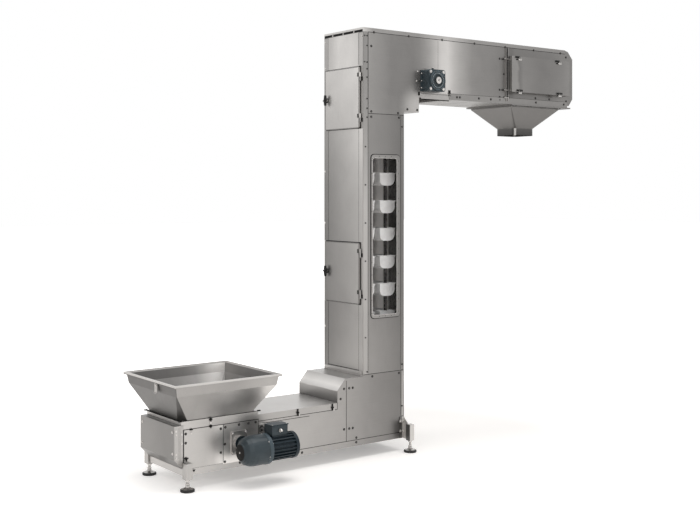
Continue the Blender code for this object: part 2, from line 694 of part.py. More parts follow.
# Hopper
def loft_shell(name, rings, thickness, finish_material):
    """Open shell bridged between closed rings given from top to bottom, with its wall inside."""
    bm = bmesh.new()
    loops = []
    for z, centre_x, points in rings:
        verts = [bm.verts.new((centre_x + x, y, z)) for x, y in points]
        loops.append([bm.edges.new((verts[k], verts[(k + 1) % len(verts)])) for k in range(len(verts))])
    for upper, lower in zip(loops, loops[1:]):
        bmesh.ops.bridge_loops(bm, edges=upper + lower)
    bmesh.ops.recalc_face_normals(bm, faces=bm.faces)
    first = bm.faces[:][0]
    centre = Vector((rings[0][1], 0, first.calc_center_median().z))
    if first.normal.dot(first.calc_center_median() - centre) < 0:
        bmesh.ops.reverse_faces(bm, faces=bm.faces)
    mesh = bpy.data.meshes.new(name)
    bm.to_mesh(mesh)
    bm.free()
    shell = finish(name, mesh, finish_material)
    wall = shell.modifiers.new("wall", "SOLIDIFY")
    wall.thickness = thickness
    wall.offset = -1
    wall.use_even_offset = True
    wall.use_rim = True
    return shell


def round_ring(half_u, half_v, radius):
    """Round-cornered ring about the middle, with the same number of points whatever its radius."""
    return round_rectangle((-half_u, half_u), (-half_v, half_v), radius)


def shifted(points, dx):
    return [(x + dx, y) for x, y in points]


def build_hopper():
    slight = HOPPER_EDGE_CUT
    inner = (HOPPER_RIM[0] - HOPPER_LIP, HOPPER_RIM[1] - HOPPER_LIP)
    rings = [(HOPPER_TOP - SHEET, HOPPER_X, cut_rectangle(inner[0] + SHEET, inner[1] + SHEET, slight)),
             (HOPPER_BAND_Z, HOPPER_X, cut_rectangle(*HOPPER_BAND, slight)),
             (HOPPER_FLANGE_TOP + GAP, HOPPER_X, cut_rectangle(*HOPPER_FOOT, HOPPER_FOOT_CUT))]
    hopper = loft_shell("hopper", rings, SHEET, STEEL)
    outer = shifted(rectangle((-HOPPER_RIM[0], HOPPER_RIM[0]), (-HOPPER_RIM[1], HOPPER_RIM[1])), HOPPER_X)
    hole = shifted(rectangle((-inner[0], inner[0]), (-inner[1], inner[1])), HOPPER_X)
    lip = outline_mesh("hopper_lip", [outer, hole], "XY", HOPPER_TOP - HOPPER_LIP / 2, HOPPER_LIP)
    unite(hopper, [lip])
    flange_half = (HOPPER_FOOT[0] + LINER, HALF)
    low = DECK_TOP + GAP
    tray("hopper_flange", (HOPPER_X - flange_half[0], HOPPER_X + flange_half[0]), (-HALF, HALF),
         (low, HOPPER_FLANGE_TOP), (0, 0, -1), STEEL,
         opening=((HOPPER_X - INLET[0], HOPPER_X + INLET[0]), (-INLET[1], INLET[1]),
                  (low - CUT_REACH, HOPPER_FLANGE_TOP + CUT_REACH)))


def build_hook():
    """Bent strap that hangs on the hopper's left wall, for the guard screen."""
    wall_x = HOPPER_X - HOPPER_BAND[0]
    top = HOPPER_TOP - HOPPER_LIP - GAP
    strap_x = wall_x - HOOK_REACH
    path = [(strap_x - HOOK_LIP, HOPPER_BAND_Z - HOOK_LIP), (strap_x, HOPPER_BAND_Z - HOOK_LIP / 2),
            (strap_x, top)]
    folded("hopper_hook", path, "XZ", HOOK_Y, HOOK_WIDTH, STEEL)


# Elbow and boom
def build_boom():
    left = CORNER_STRIP + GAP
    seam = BOOM_SEAM_X - GAP
    outline = [(left, COLUMN_TOP), (COLUMN_WIDTH, COLUMN_TOP), (COLUMN_WIDTH, ELBOW_BOTTOM),
               (ELBOW_X, ELBOW_BOTTOM), (ELBOW_X, BOOM_BOTTOM), (seam, BOOM_BOTTOM), (seam, SIDE_TOP),
               (left, SIDE_TOP)]
    for name, side in (("boom_front_plate", -1), ("boom_back_plate", 1)):
        piece = plate(name, [outline], "XZ", side * PLATE_Y, SHEET, STEEL)
        unite(piece, wheel_tools(name, (BOOM_INNER_CORNER, ELBOW_CORNER), side))
    path = [(COLUMN_WIDTH + GAP, ELBOW_BOTTOM), (ELBOW_X, ELBOW_BOTTOM), (ELBOW_X, BOOM_BOTTOM),
            (PAN_START_X - GAP, BOOM_BOTTOM)]
    folded("elbow_bottom", path, "XZ", 0, 2 * INNER, STEEL)
    tray("boom_lid", (0, LID_END_X), (-HALF, HALF), (LID_BOTTOM, TOP_Z), (0, 0, -1), STEEL)
    half = HALF + GAP + SHEET
    opening = ((CHUTE_X - CHUTE_HALF[0] + SHEET, CHUTE_X + CHUTE_HALF[0] - SHEET),
               (SHEET - CHUTE_HALF[1], CHUTE_HALF[1] - SHEET),
               (PAN_BOTTOM - CUT_REACH, PAN_BOTTOM + CUT_REACH))
    channel = [(-half, PAN_FLANGE_TOP), (-half, PAN_BOTTOM), (half, PAN_BOTTOM), (half, PAN_FLANGE_TOP)]
    pan = plate("boom_pan", [folded_outline(channel, SHEET)], "YZ", (PAN_START_X + PAN_END_X) / 2,
                PAN_END_X - PAN_START_X, STEEL)
    reach = half - SHEET / 2
    ends = [block_mesh("pan_end", x, (-reach, reach), (PAN_BOTTOM + SHEET / 2, top - GAP))
            for x, top in (((PAN_START_X, PAN_START_X + SHEET), BOOM_BOTTOM),
                           ((PAN_END_X - SHEET, PAN_END_X), HEAD_BOTTOM))]
    unite(pan, ends)
    unite(pan, [block_mesh("pan_opening", *opening)], "DIFFERENCE")


def build_head():
    left = BOOM_SEAM_X
    outline = [(left, HEAD_BOTTOM), (HEAD_LOW_KNEE_X, HEAD_BOTTOM), (HEAD_X, HEAD_KNEE_LOW),
               (HEAD_X, HEAD_KNEE_HIGH), (HEAD_TOP_KNEE_X, HEAD_TOP_KNEE_Z),
               (LID_END_X + GAP, TOP_Z - SHEET), (LID_END_X + GAP, SIDE_TOP), (left, SIDE_TOP)]
    for name, side in (("head_front_plate", -1), ("head_back_plate", 1)):
        piece = plate(name, [outline], "XZ", side * PLATE_Y, SHEET, STEEL)
        unite(piece, wheel_tools(name, (HEAD_WHEEL,), side))
    path = [(PAN_END_X + GAP, HEAD_BOTTOM), (HEAD_LOW_KNEE_X, HEAD_BOTTOM), (HEAD_X, HEAD_KNEE_LOW),
            (HEAD_X, HEAD_KNEE_HIGH), (HEAD_TOP_KNEE_X, HEAD_TOP_KNEE_Z),
            (LID_END_X + SHEET / 2, TOP_Z - SHEET)]
    folded("head_end_cover", path, "XZ", 0, 2 * INNER, STEEL)
    face = -(HALF + GAP)
    tray("head_cover", HEAD_COVER_X, (face - HEAD_COVER_DEPTH, face), HEAD_COVER_Z, (0, 1, 0), STEEL)


def build_discharge():
    flange_top = PAN_BOTTOM - GAP
    flange_low = flange_top - FLANGE_THICKNESS
    outer_x = (CHUTE_X - CHUTE_HALF[0] - FLANGE_MARGIN_X[0], CHUTE_X + CHUTE_HALF[0] + FLANGE_MARGIN_X[1])
    outer = rectangle(outer_x, (-CHUTE_HALF[1] - FLANGE_MARGIN_Y, CHUTE_HALF[1] + FLANGE_MARGIN_Y))
    hole_half = (CHUTE_HALF[0] - SHEET, CHUTE_HALF[1] - SHEET)
    hole = shifted(rectangle((-hole_half[0], hole_half[0]), (-hole_half[1], hole_half[1])), CHUTE_X)
    plate("discharge_flange", [outer, hole], "XY", (flange_top + flange_low) / 2, FLANGE_THICKNESS, STEEL)
    rings = [(flange_low - GAP, CHUTE_X, round_ring(*CHUTE_HALF, CHUTE_RADIUS)),
             (flange_low - CHUTE_BAND, CHUTE_X, round_ring(*CHUTE_HALF, CHUTE_RADIUS)),
             (OUTLET_TOP, CHUTE_X, round_ring(OUTLET_HALF, OUTLET_HALF, OUTLET_RADIUS)),
             (OUTLET_BOTTOM, CHUTE_X, round_ring(OUTLET_HALF, OUTLET_HALF, OUTLET_RADIUS))]
    loft_shell("discharge_chute", rings, SHEET, STEEL)


def turned(name, profile, steps, finish_material, axis_from, direction):
    """Turned solid: a profile of (radius, distance along the axis), from the axis back to it."""
    bm = bmesh.new()
    verts = [bm.verts.new((radius, 0, along)) for radius, along in profile]
    for first, second in zip(verts, verts[1:]):
        bm.edges.new((first, second))
    mesh = bpy.data.meshes.new(name)
    bm.to_mesh(mesh)
    bm.free()
    obj = finish(name, mesh, finish_material)
    obj.location = axis_from
    obj.rotation_euler = Vector(direction).to_track_quat("Z", "Y").to_euler()
    turn = obj.modifiers.new("turn", "SCREW")
    turn.steps = steps
    turn.render_steps = steps
    turn.use_merge_vertices = True
    turn.merge_threshold = TURN_WELD
    return obj


# Drives
def drive_shaft(name, x, z, front_y):
    """Shaft across the casing with its two chain wheels."""
    core = cylinder_mesh(name, (x, front_y, z), (x, INNER, z), SHAFT_RADIUS, SHAFT_SIDES)
    shaft = finish(name, core, BRIGHT)
    wheels = [cylinder_mesh(name + "_wheel", (x, side * (CHAIN_Y - CHAIN_WIDTH / 2), z),
                            (x, side * (CHAIN_Y + CHAIN_WIDTH / 2), z), WHEEL_RADIUS) for side in (-1, 1)]
    unite(shaft, wheels)


def build_base_drive():
    front = -(HALF + SHEET + 2 * GAP)
    bearing_x = (DRIVE_X - BEARING_HALF[0], DRIVE_X + BEARING_HALF[0])
    bearing_z = (BASE_SHAFT_Z - BEARING_HALF[1], BASE_SHAFT_Z + BEARING_HALF[1])
    bore = circle(DRIVE_X, BASE_SHAFT_Z, SHAFT_RADIUS + 2 * GAP)
    square = round_rectangle(bearing_x, bearing_z, CORNER_RADIUS / 2)
    bearing = plate("drive_bearing", [square, bore], "XZ", front - BEARING_THICKNESS / 2, BEARING_THICKNESS,
                    BRIGHT)
    ring = [circle(DRIVE_X, BASE_SHAFT_Z, radius, RING_SIDES) for radius in (BEARING_RING, BEARING_SEAT)]
    ring_middle = front - BEARING_THICKNESS - BEARING_BOSS / 2
    unite(bearing, [outline_mesh("bearing_ring", ring, "XZ", ring_middle, BEARING_BOSS + SHEET)])
    far = REDUCER_X[1] - GAP - REDUCER_X[0]
    profile = [(0, far)]
    profile += [(radius, far * share) for radius, share in REDUCER_TAPER]
    profile += [(REDUCER_TAPER[-1][0] - REDUCER_EDGE, 0), (0, 0)]
    reducer = turned("gear_reducer", profile, DRIVE_SIDES, DRIVE_GREY, (REDUCER_X[0], MOTOR_Y, MOTOR_Z),
                     (1, 0, 0))
    seat_y = front - BEARING_THICKNESS - GAP
    unite(reducer, [cylinder_mesh("neck", (DRIVE_X, seat_y, BASE_SHAFT_Z), (DRIVE_X, MOTOR_Y, BASE_SHAFT_Z),
                                  NECK_RADIUS, BORE_SIDES)])
    fins = []
    for k in range(FIN_COUNT):
        for turn, drop in ((0, 0), (FIN_TURNS[0], 0), (FIN_TURNS[1], FIN_DEPTH), (FIN_TURNS[2], FIN_DEPTH)):
            angle = math.tau * (k + turn) / FIN_COUNT
            radius = MOTOR_RADIUS - drop
            fins.append((MOTOR_Y + radius * math.cos(angle), MOTOR_Z + radius * math.sin(angle)))
    middle = (MOTOR_X[1] + MOTOR_END_X) / 2
    motor = plate("drive_motor", [fins], "YZ", middle, MOTOR_LENGTH + SHEET, DRIVE_GREY)
    flange = cylinder_mesh("motor_flange", (MOTOR_X[0], MOTOR_Y, MOTOR_Z), (MOTOR_X[1], MOTOR_Y, MOTOR_Z),
                           MOTOR_FLANGE_RADIUS, FLANGE_SIDES)
    end = cylinder_mesh("motor_end", (MOTOR_END_X - MOTOR_CAP, MOTOR_Y, MOTOR_Z),
                        (MOTOR_END_X + SHEET, MOTOR_Y, MOTOR_Z), MOTOR_RADIUS + SHEET, FLANGE_SIDES)
    seat_half = TERMINAL_HALF - 2 * SHEET
    box_x = (MOTOR_X[1] + TERMINAL_INSET, MOTOR_X[1] + TERMINAL_INSET + TERMINAL_LENGTH)
    seat_x = (box_x[0] + 2 * SHEET, box_x[1] - 2 * SHEET)
    seat_top = MOTOR_Z + MOTOR_RADIUS + SHEET
    seat = block_mesh("terminal_seat", seat_x, (MOTOR_Y - seat_half, MOTOR_Y + seat_half),
                      (MOTOR_Z + MOTOR_RADIUS - TERMINAL_SEAT / 2, seat_top))
    unite(motor, [flange, end, seat])
    block("terminal_box", box_x, (MOTOR_Y - TERMINAL_HALF, MOTOR_Y + TERMINAL_HALF),
          (seat_top + GAP, TERMINAL_TOP), DRIVE_GREY)
    drive_shaft("base_drive_shaft", DRIVE_X, BASE_SHAFT_Z, front - BEARING_THICKNESS)


def build_upper_drive():
    front = -(HALF + GAP)
    x = (UPPER_DRIVE_X - GEARBOX_HALF, UPPER_DRIVE_X + GEARBOX_HALF)
    z = (UPPER_DRIVE_Z - GEARBOX_HALF, UPPER_DRIVE_Z + GEARBOX_HALF)
    body = plate("upper_gearbox", [round_rectangle(x, z, CORNER_RADIUS)], "XZ", front - GEARBOX_DEPTH / 2,
                 GEARBOX_DEPTH, DRIVE_GREY)
    flange_x = (x[0] - GEARBOX_FLANGE, x[1] + GEARBOX_FLANGE)
    cover_y = front - GEARBOX_DEPTH
    breather_x = UPPER_DRIVE_X - BREATHER_RADIUS
    unite(body, [
        block_mesh("gearbox_flange", flange_x, (front - GEARBOX_FLANGE, front), (z[0] + SHEET, z[1] - SHEET)),
        cylinder_mesh("gearbox_cover", (UPPER_DRIVE_X, cover_y + SHEET, UPPER_DRIVE_Z),
                      (UPPER_DRIVE_X, cover_y - GEARBOX_COVER, UPPER_DRIVE_Z), GEARBOX_COVER_RADIUS,
                      DRIVE_SIDES),
        cylinder_mesh("breather", (breather_x, front - GEARBOX_DEPTH / 2, z[1] - SHEET),
                      (breather_x, front - GEARBOX_DEPTH / 2, z[1] + BREATHER_HEIGHT), BREATHER_RADIUS,
                      STUB_SIDES)])
    unite(body, [cylinder_mesh("seal_recess", (UPPER_DRIVE_X, cover_y - 2 * GEARBOX_COVER, UPPER_DRIVE_Z),
                               (UPPER_DRIVE_X, cover_y, UPPER_DRIVE_Z), SEAL_RADIUS)], "DIFFERENCE")
    hub = cylinder_mesh("upper_gearbox_hub", (UPPER_DRIVE_X, cover_y - GAP, UPPER_DRIVE_Z),
                        (UPPER_DRIVE_X, cover_y - 2 * GEARBOX_COVER, UPPER_DRIVE_Z), HUB_RADIUS)
    finish("upper_gearbox_hub", hub, BRIGHT, smooth=True)
    drive_shaft("upper_drive_shaft", UPPER_DRIVE_X, UPPER_DRIVE_Z, -INNER)


# Feet
def build_foot(name, x, y, top):
    """Levelling foot: rubber-rimmed pad, dome, lock nut and threaded stem."""
    edge = FOOT_EDGE
    profile = [(0, top), (FOOT_STEM, top), (FOOT_STEM, FOOT_NECK), (FOOT_NECK_RADIUS, FOOT_NECK - edge),
               (FOOT_NECK_RADIUS, FOOT_PAD + 2 * edge), (FOOT_DOME, FOOT_PAD + edge / 2),
               (FOOT_RADIUS - edge, FOOT_PAD), (FOOT_RADIUS, FOOT_PAD - edge), (FOOT_RADIUS, edge / 2),
               (FOOT_RADIUS - edge / 2, 0), (0, 0)]
    turned(name, profile, FOOT_SIDES, BLACK, (x, y, 0), (0, 0, 1))


def build_legs():
    for word, side in (("front", -1), ("back", 1)):
        near = HALF + GAP
        panel = SHEET + GAP if side < 0 else 0
        leg_y = tuple(sorted((side * (near + panel), side * (near + LEG_DEPTH))))
        leg_x = (LEG_X - LEG_WIDTH / 2, LEG_X + LEG_WIDTH / 2)
        block(f"tail_{word}_leg", leg_x, leg_y, LEG_Z, STEEL)
        build_foot(f"tail_{word}_foot", LEG_X, sum(leg_y) / 2, LEG_Z[0] - GAP)
        tube_near = HALF + OUTRIGGER_REACH - OUTRIGGER_TUBE / 2
        tube_far = tube_near + OUTRIGGER_TUBE
        tube_y = tuple(sorted((side * tube_near, side * tube_far)))
        tube_x = (OUTRIGGER_X - OUTRIGGER_TUBE / 2, OUTRIGGER_X + OUTRIGGER_TUBE / 2)
        arm = block(f"column_{word}_leg", tube_x, tube_y, OUTRIGGER_Z, STEEL)
        web = [(side * near, OUTRIGGER_Z[0] + SHEET), (side * (tube_near + SHEET), OUTRIGGER_Z[0] + SHEET),
               (side * (tube_near + SHEET), OUTRIGGER_Z[1] - SHEET), (side * near, OUTRIGGER_ROOT_TOP)]
        web_mesh = outline_mesh("web", [web], "YZ", OUTRIGGER_X, 2 * SHEET)
        flange_y = tuple(sorted((side * near, side * (near + 2 * SHEET))))
        flange_x = (COLUMN_WIDTH - OUTRIGGER_FLANGE, COLUMN_WIDTH)
        flange = block_mesh("flange", flange_x, flange_y, (RAIL_BOTTOM, OUTRIGGER_ROOT_TOP))
        unite(arm, [web_mesh, flange])
        build_foot(f"column_{word}_foot", OUTRIGGER_X, sum(tube_y) / 2, OUTRIGGER_Z[0] - GAP)


# Bucket chain
def chain_path():
    """Corners of the loop in running order, as (centre, start angle, end angle) arcs."""
    return [
        (TAIL_WHEEL, 270, 90),
        (BASE_INNER_CORNER, 270, 360),
        (ELBOW_CORNER, 180, 90),
        (HEAD_WHEEL, 90, -90),
        (BOOM_INNER_CORNER, 90, 180),
        (BOOT_CORNER, 0, -90),
    ]


def chain_points():
    """Points of the loop with the radius direction's sign, so that it can be set off sideways."""
    points = []
    for (cx, cz), start, end in chain_path():
        steps = max(1, round(abs(end - start) / 90 * ARC_STEPS))
        sign = -1 if end > start else 1
        for step in range(steps + 1):
            angle = math.radians(start + (end - start) * step / steps)
            points.append((cx, cz, angle, sign))
    return points


def chain_outline(offset):
    """Closed outline of the loop, set off to the outside by an offset."""
    outline = []
    for cx, cz, angle, sign in chain_points():
        radius = TURN_RADIUS + sign * offset
        outline.append((cx + radius * math.cos(angle), cz + radius * math.sin(angle)))
    return outline


def bucket_places():
    """Pin positions at an even pitch along the loop, one of them at the anchor height."""
    points = chain_outline(0)
    legs = []
    for first, second in zip(points, points[1:] + points[:1]):
        legs.append((Vector(first), Vector(second)))
    total = sum((b - a).length for a, b in legs)
    anchor = 0.0
    for a, b in legs:
        falls = abs(a.x - DOWN_STRAND_X) < GAP and abs(b.x - DOWN_STRAND_X) < GAP
        if falls and a.y > BUCKET_ANCHOR_Z > b.y:
            anchor += a.y - BUCKET_ANCHOR_Z
            break
        anchor += (b - a).length
    count = round(total / BUCKET_PITCH)
    places = []
    for k in range(count):
        target = (anchor + k * total / count) % total
        for a, b in legs:
            length = (b - a).length
            if target <= length:
                places.append(a + (b - a) * (target / length))
                break
            target -= length
    return places


def bucket_mesh():
    """One hanging bucket about its pin: open sheet with its wall set inward."""
    cut = BUCKET_CORNER
    profile = [(-BUCKET_HALF_WIDTH, BUCKET_RIM), (-BUCKET_HALF_WIDTH, cut - BUCKET_DROP),
               (cut - BUCKET_HALF_WIDTH, -BUCKET_DROP), (BUCKET_HALF_WIDTH - cut, -BUCKET_DROP),
               (BUCKET_HALF_WIDTH, cut - BUCKET_DROP), (BUCKET_HALF_WIDTH, BUCKET_RIM)]
    bm = bmesh.new()
    end = bm.faces.new([bm.verts.new((x, -BUCKET_HALF_LENGTH, z)) for x, z in profile])
    pushed = bmesh.ops.extrude_face_region(bm, geom=[end], use_keep_orig=True)
    moved = [item for item in pushed["geom"] if isinstance(item, bmesh.types.BMVert)]
    bmesh.ops.translate(bm, verts=moved, vec=(0, 2 * BUCKET_HALF_LENGTH, 0))
    bmesh.ops.recalc_face_normals(bm, faces=bm.faces)
    rim = max(bm.faces, key=lambda face: face.calc_center_median().z)
    bmesh.ops.delete(bm, geom=[rim], context="FACES_ONLY")
    mesh = bpy.data.meshes.new("bucket")
    bm.to_mesh(mesh)
    bm.free()
    guide = bpy.data.objects.new("bucket", mesh)
    cutters.objects.link(guide)
    wall = guide.modifiers.new("wall", "SOLIDIFY")
    wall.thickness = LINER
    wall.offset = -1
    wall.use_even_offset = True
    wall.use_rim = True
    bpy.context.view_layer.update()
    result = bpy.data.meshes.new_from_object(guide.evaluated_get(bpy.context.evaluated_depsgraph_get()))
    bpy.data.objects.remove(guide)
    return result


def build_chain():
    ring = [chain_outline(CHAIN_HALF_HEIGHT), chain_outline(-CHAIN_HALF_HEIGHT)]
    bm = bmesh.new()
    for side in (-1, 1):
        bm.from_mesh(outline_mesh("chain_side", ring, "XZ", side * CHAIN_Y, CHAIN_WIDTH))
    chain = finish("bucket_chain", mesh_of(bm, "bucket_chain"), WHITE)
    one = bucket_mesh()
    buckets = bmesh.new()
    pins = bmesh.new()
    for place in bucket_places():
        shift = Vector((place.x, 0, place.y))
        start = len(buckets.verts)
        buckets.from_mesh(one)
        buckets.verts.ensure_lookup_table()
        bmesh.ops.translate(buckets, verts=buckets.verts[start:], vec=shift)
        for side in (-1, 1):
            add_cylinder(pins, shift + Vector((0, side * (BUCKET_HALF_LENGTH - LINER / 2), 0)),
                         shift + Vector((0, side * CHAIN_Y, 0)), PIN_RADIUS, PIN_SIDES)
    bucket_set = bpy.data.meshes.new("buckets")
    buckets.to_mesh(bucket_set)
    buckets.free()
    unite(chain, [bucket_set, mesh_of(pins, "pins")])


build_column()
build_window()
build_door("lower_door", LOWER_DOOR_Z)
build_door("upper_door", UPPER_DOOR_Z)
build_boot()
build_base()
build_hopper()
build_hook()
build_boom()
build_head()
build_discharge()
build_base_drive()
build_upper_drive()
build_legs()
build_chain()

# The box's middle goes to the origin
LEFT_X = HOPPER_X - HOPPER_RIM[0]
FRONT_Y = MOTOR_Y - MOTOR_FLANGE_RADIUS
BACK_Y = HOPPER_RIM[1]
origin.location = (-(LEFT_X + HEAD_X) / 2, -(FRONT_Y + BACK_Y) / 2, 0)
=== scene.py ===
# %% [markdown]
# # Dressing a bucket elevator
# The imported model already has every sheet, shaft and foot in its true place. This lesson adds
# what a plain model lacks: the grain of brushed steel, the chain with its links and buckets,
# the bolts, latches, seams and rubber, and the light of a plain white studio.
#
# First the imported model is loaded as a fixed frame. The dressed model has to stay inside it.

# %% Load the imported frame
import math

import bmesh
import bpy
from mathutils import Matrix, Vector


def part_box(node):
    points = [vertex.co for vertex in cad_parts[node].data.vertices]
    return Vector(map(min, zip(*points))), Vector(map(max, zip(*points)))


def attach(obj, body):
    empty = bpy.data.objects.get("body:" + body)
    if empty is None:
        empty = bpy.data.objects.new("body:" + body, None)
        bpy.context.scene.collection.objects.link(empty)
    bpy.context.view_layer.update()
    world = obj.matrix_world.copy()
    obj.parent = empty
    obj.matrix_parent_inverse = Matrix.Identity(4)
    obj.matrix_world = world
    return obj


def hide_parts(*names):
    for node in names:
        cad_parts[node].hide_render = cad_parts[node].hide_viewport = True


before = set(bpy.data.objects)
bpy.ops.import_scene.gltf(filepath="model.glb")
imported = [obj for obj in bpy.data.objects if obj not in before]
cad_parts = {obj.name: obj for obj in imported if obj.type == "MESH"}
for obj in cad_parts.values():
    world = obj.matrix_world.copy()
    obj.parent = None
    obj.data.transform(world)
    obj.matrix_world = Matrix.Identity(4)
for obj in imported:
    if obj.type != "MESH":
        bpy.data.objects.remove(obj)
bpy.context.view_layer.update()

scene = bpy.context.scene

# %% [markdown]
# ## Where things are
# The machine was drawn from its column: X runs from the column's left face, Y from the middle
# plane and Z from the floor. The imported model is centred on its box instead, so one vector takes
# a place on the machine to its place in the scene. It is read from the lid of the boom, which
# starts at the column's left face. Three short functions give places on the front, the back and
# the column's left face, and a face with its direction makes a side.

# %% The machine's own origin
lid_low, lid_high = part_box("boom_lid")
ORIGIN = Vector((lid_low.x, (lid_low.y + lid_high.y) / 2, 0))
HALF = (lid_high.y - lid_low.y) / 2
UP, DOWN = Vector((0, 0, 1)), Vector((0, 0, -1))
LEFT, RIGHT = Vector((-1, 0, 0)), Vector((1, 0, 0))
FRONT, BACK = Vector((0, -1, 0)), Vector((0, 1, 0))
ACROSS, THROUGH, UPRIGHT = 0, 1, 2
print("machine origin:", tuple(round(v, 4) for v in ORIGIN), "casing half depth:", round(HALF, 4))


# %% Places on the faces of the casing
def front(x, z, proud=0.0):
    return (x, -HALF - proud, z)


def back(x, z, proud=0.0):
    return (x, HALF + proud, z)


def left(y, z, proud=0.0):
    return (-proud, y, z)


AT_FRONT = ((front, FRONT),)
AT_LEFT = ((left, LEFT),)
BOTH = ((front, FRONT), (back, BACK))
PANEL_FACE = 0.0033

# %% [markdown]
# ## Shader arithmetic
# A procedural finish is arithmetic on noise: a cloud pattern times a grain, plus a little dirt.
# Wiring that by hand is hard to read. A small class wraps a node's output and overloads the
# operators, so that a finish can be written as an expression, and each operator adds its Math node.

# %% A wire that can be added and multiplied
class Wire:
    def __init__(self, finish, socket):
        self.finish = finish
        self.socket = socket

    def math(self, operation, *values):
        return self.finish.node("ShaderNodeMath", {"operation": operation}, dict(enumerate(values)))

    def __add__(self, other):
        return self.math("ADD", self, other)

    def __sub__(self, other):
        return self.math("SUBTRACT", self, other)

    def __rsub__(self, other):
        return self.math("SUBTRACT", other, self)

    def __mul__(self, other):
        return self.math("MULTIPLY", self, other)

    def __gt__(self, other):
        return self.math("GREATER_THAN", self, other)

    def __lt__(self, other):
        return self.math("LESS_THAN", self, other)

    def size(self):
        return self.math("ABSOLUTE", self)

    def most(self, other):
        return self.math("MAXIMUM", self, other)

    __radd__ = __add__
    __rmul__ = __mul__


# %% A finish, with one method that makes nodes
class Finish:
    def __init__(self, name):
        self.material = bpy.data.materials.new(name)
        self.material.use_nodes = True
        self.tree = self.material.node_tree
        self.shader = self.tree.nodes["Principled BSDF"]

    def node(self, kind, settings=None, sockets=None, out=0):
        made = self.tree.nodes.new(kind)
        for key, value in (settings or {}).items():
            if key == "stops":
                ramp = made.color_ramp
                while len(ramp.elements) < len(value):
                    ramp.elements.new(0.5)
                for element, (place, colour) in zip(ramp.elements, value):
                    element.position = place
                    element.color = (*colour, 1)
            else:
                setattr(made, key, value)
        for key, value in (sockets or {}).items():
            self.feed(made.inputs[key], value)
        return Wire(self, made.outputs[out])

    def feed(self, socket, value):
        if isinstance(value, Wire):
            self.tree.links.new(value.socket, socket)
        else:
            socket.default_value = (*value, 1) if socket.type == "RGBA" else value

    def place(self, stretch=(1, 1, 1)):
        where = self.node("ShaderNodeTexCoord", out=3)
        return self.node("ShaderNodeMapping", {}, {"Vector": where, "Scale": stretch})

    def noise(self, scale, detail=2.0, stretch=(1, 1, 1), distortion=0.0):
        return self.node("ShaderNodeTexNoise", {}, {"Vector": self.place(stretch), "Scale": scale,
                                                    "Detail": detail, "Distortion": distortion})

    def axis(self, index):
        """Distance along one of the machine's own axes."""
        where = self.node("ShaderNodeTexCoord", out=3)
        return self.node("ShaderNodeSeparateXYZ", {}, {0: where}, out=index) - ORIGIN[index]

    def normal(self, index):
        way = self.node("ShaderNodeNewGeometry", out=1)
        return self.node("ShaderNodeSeparateXYZ", {}, {0: way}, out=index)

    def mix(self, factor, first, second, blend="MIX"):
        return self.node("ShaderNodeMix", {"data_type": "RGBA", "blend_type": blend},
                         {0: factor, 6: first, 7: second}, out=2)

    def ramp(self, value, *stops):
        return self.node("ShaderNodeValToRGB", {"stops": stops}, {0: value})

    def bump(self, height, strength, distance):
        return self.node("ShaderNodeBump", {}, {"Strength": strength, "Distance": distance, "Height": height})

    def ray(self, output):
        return self.node("ShaderNodeLightPath", out=output)

    def set(self, **sockets):
        for name, value in sockets.items():
            self.feed(self.shader.inputs[name.replace("_", " ")], value)
        return self.material


def grey(level, warmth=0.032):
    """Linear colour of a slightly warm or cool grey, from its level in the picture (0 to 255)."""
    share = level / 255
    linear = share / 12.92 if share < 0.04045 else ((share + 0.055) / 1.055) ** 2.4
    return (linear * (1 + warmth), linear, linear * (1 - warmth))


def lit(level):
    """The same grey before the wear of the sheet takes a tenth of it away."""
    return tuple(value / 0.90 for value in grey(level))


print("a picture grey of 150 is", round(grey(150)[1], 3), "in linear light")

# %% [markdown]
# ## Brushed stainless sheet
# Stainless casings are cut from sheet that came brushed from the mill. Close up there are fine
# parallel scratches, and from a few metres the sheet looks cloudy. Long sheets also run from light
# to dark, and that run is painted light and shade: lit faces, highlights and reflections are painted
# lighter, shaded faces darker. One recipe makes all of them: a few tones along one axis, a cloud
# that bends their edges, and a grain on top. The scratches also feed the roughness and a very
# shallow bump.

# %% The stainless recipe
GRAIN = {"upright": (240, 240, 5), "level": (5, 240, 240)}


# Painted light and shade: a run of tones along a sheet stands in for where light and shade fall on it.
def painted_shading_run(where, bend, *tones):
    """Grey along a distance on the machine, from (distance, picture tone) pairs."""
    low, high = tones[0][0], tones[-1][0]
    cloud = where.finish.noise(3.1, 3.0, distortion=0.6)
    share = (where + (cloud - 0.5) * bend - low) * (1 / (high - low))
    return where.finish.ramp(share, *[((place - low) / (high - low), lit(tone)) for place, tone in tones])


def sheet_shader(finish, tone, grain, painted_light_slope=0.0, clouds=1.0, roughness=0.34):
    cloud = finish.noise(2.3, 3.0, distortion=0.7)
    blotch = finish.noise(11.0, 4.0, stretch=(1.0, 1.0, 0.7), distortion=0.4)
    streak = finish.noise(1.0, 2.0, stretch=GRAIN[grain])
    speck = finish.noise(120.0, 2.0)
    spread = (cloud - 0.5) * (0.7 * clouds) + (blotch - 0.5) * (0.35 * clouds) + (streak - 0.5) * 0.35 + 0.5
    spread = spread + (speck - 0.5) * 0.20
    wear = finish.ramp(spread, (0.1, (0.76, 0.76, 0.76)), (0.5, (0.90, 0.90, 0.90)), (0.9, (1.0, 1.0, 1.0)))
    colour = finish.mix(1.0, tone, wear, "MULTIPLY")
    # Painted light: the face grows lighter towards the front and darker towards the back.
    if painted_light_slope:
        colour = finish.mix(1.0, colour, 1 + finish.axis(THROUGH) * painted_light_slope, "MULTIPLY")
    rough = roughness + (blotch - 0.5) * 0.16 + (streak - 0.5) * 0.14
    height = finish.bump(streak + speck * 0.4, 0.10, 0.0004)
    return finish.set(Base_Color=colour, Roughness=rough, Metallic=0.85, Normal=height)


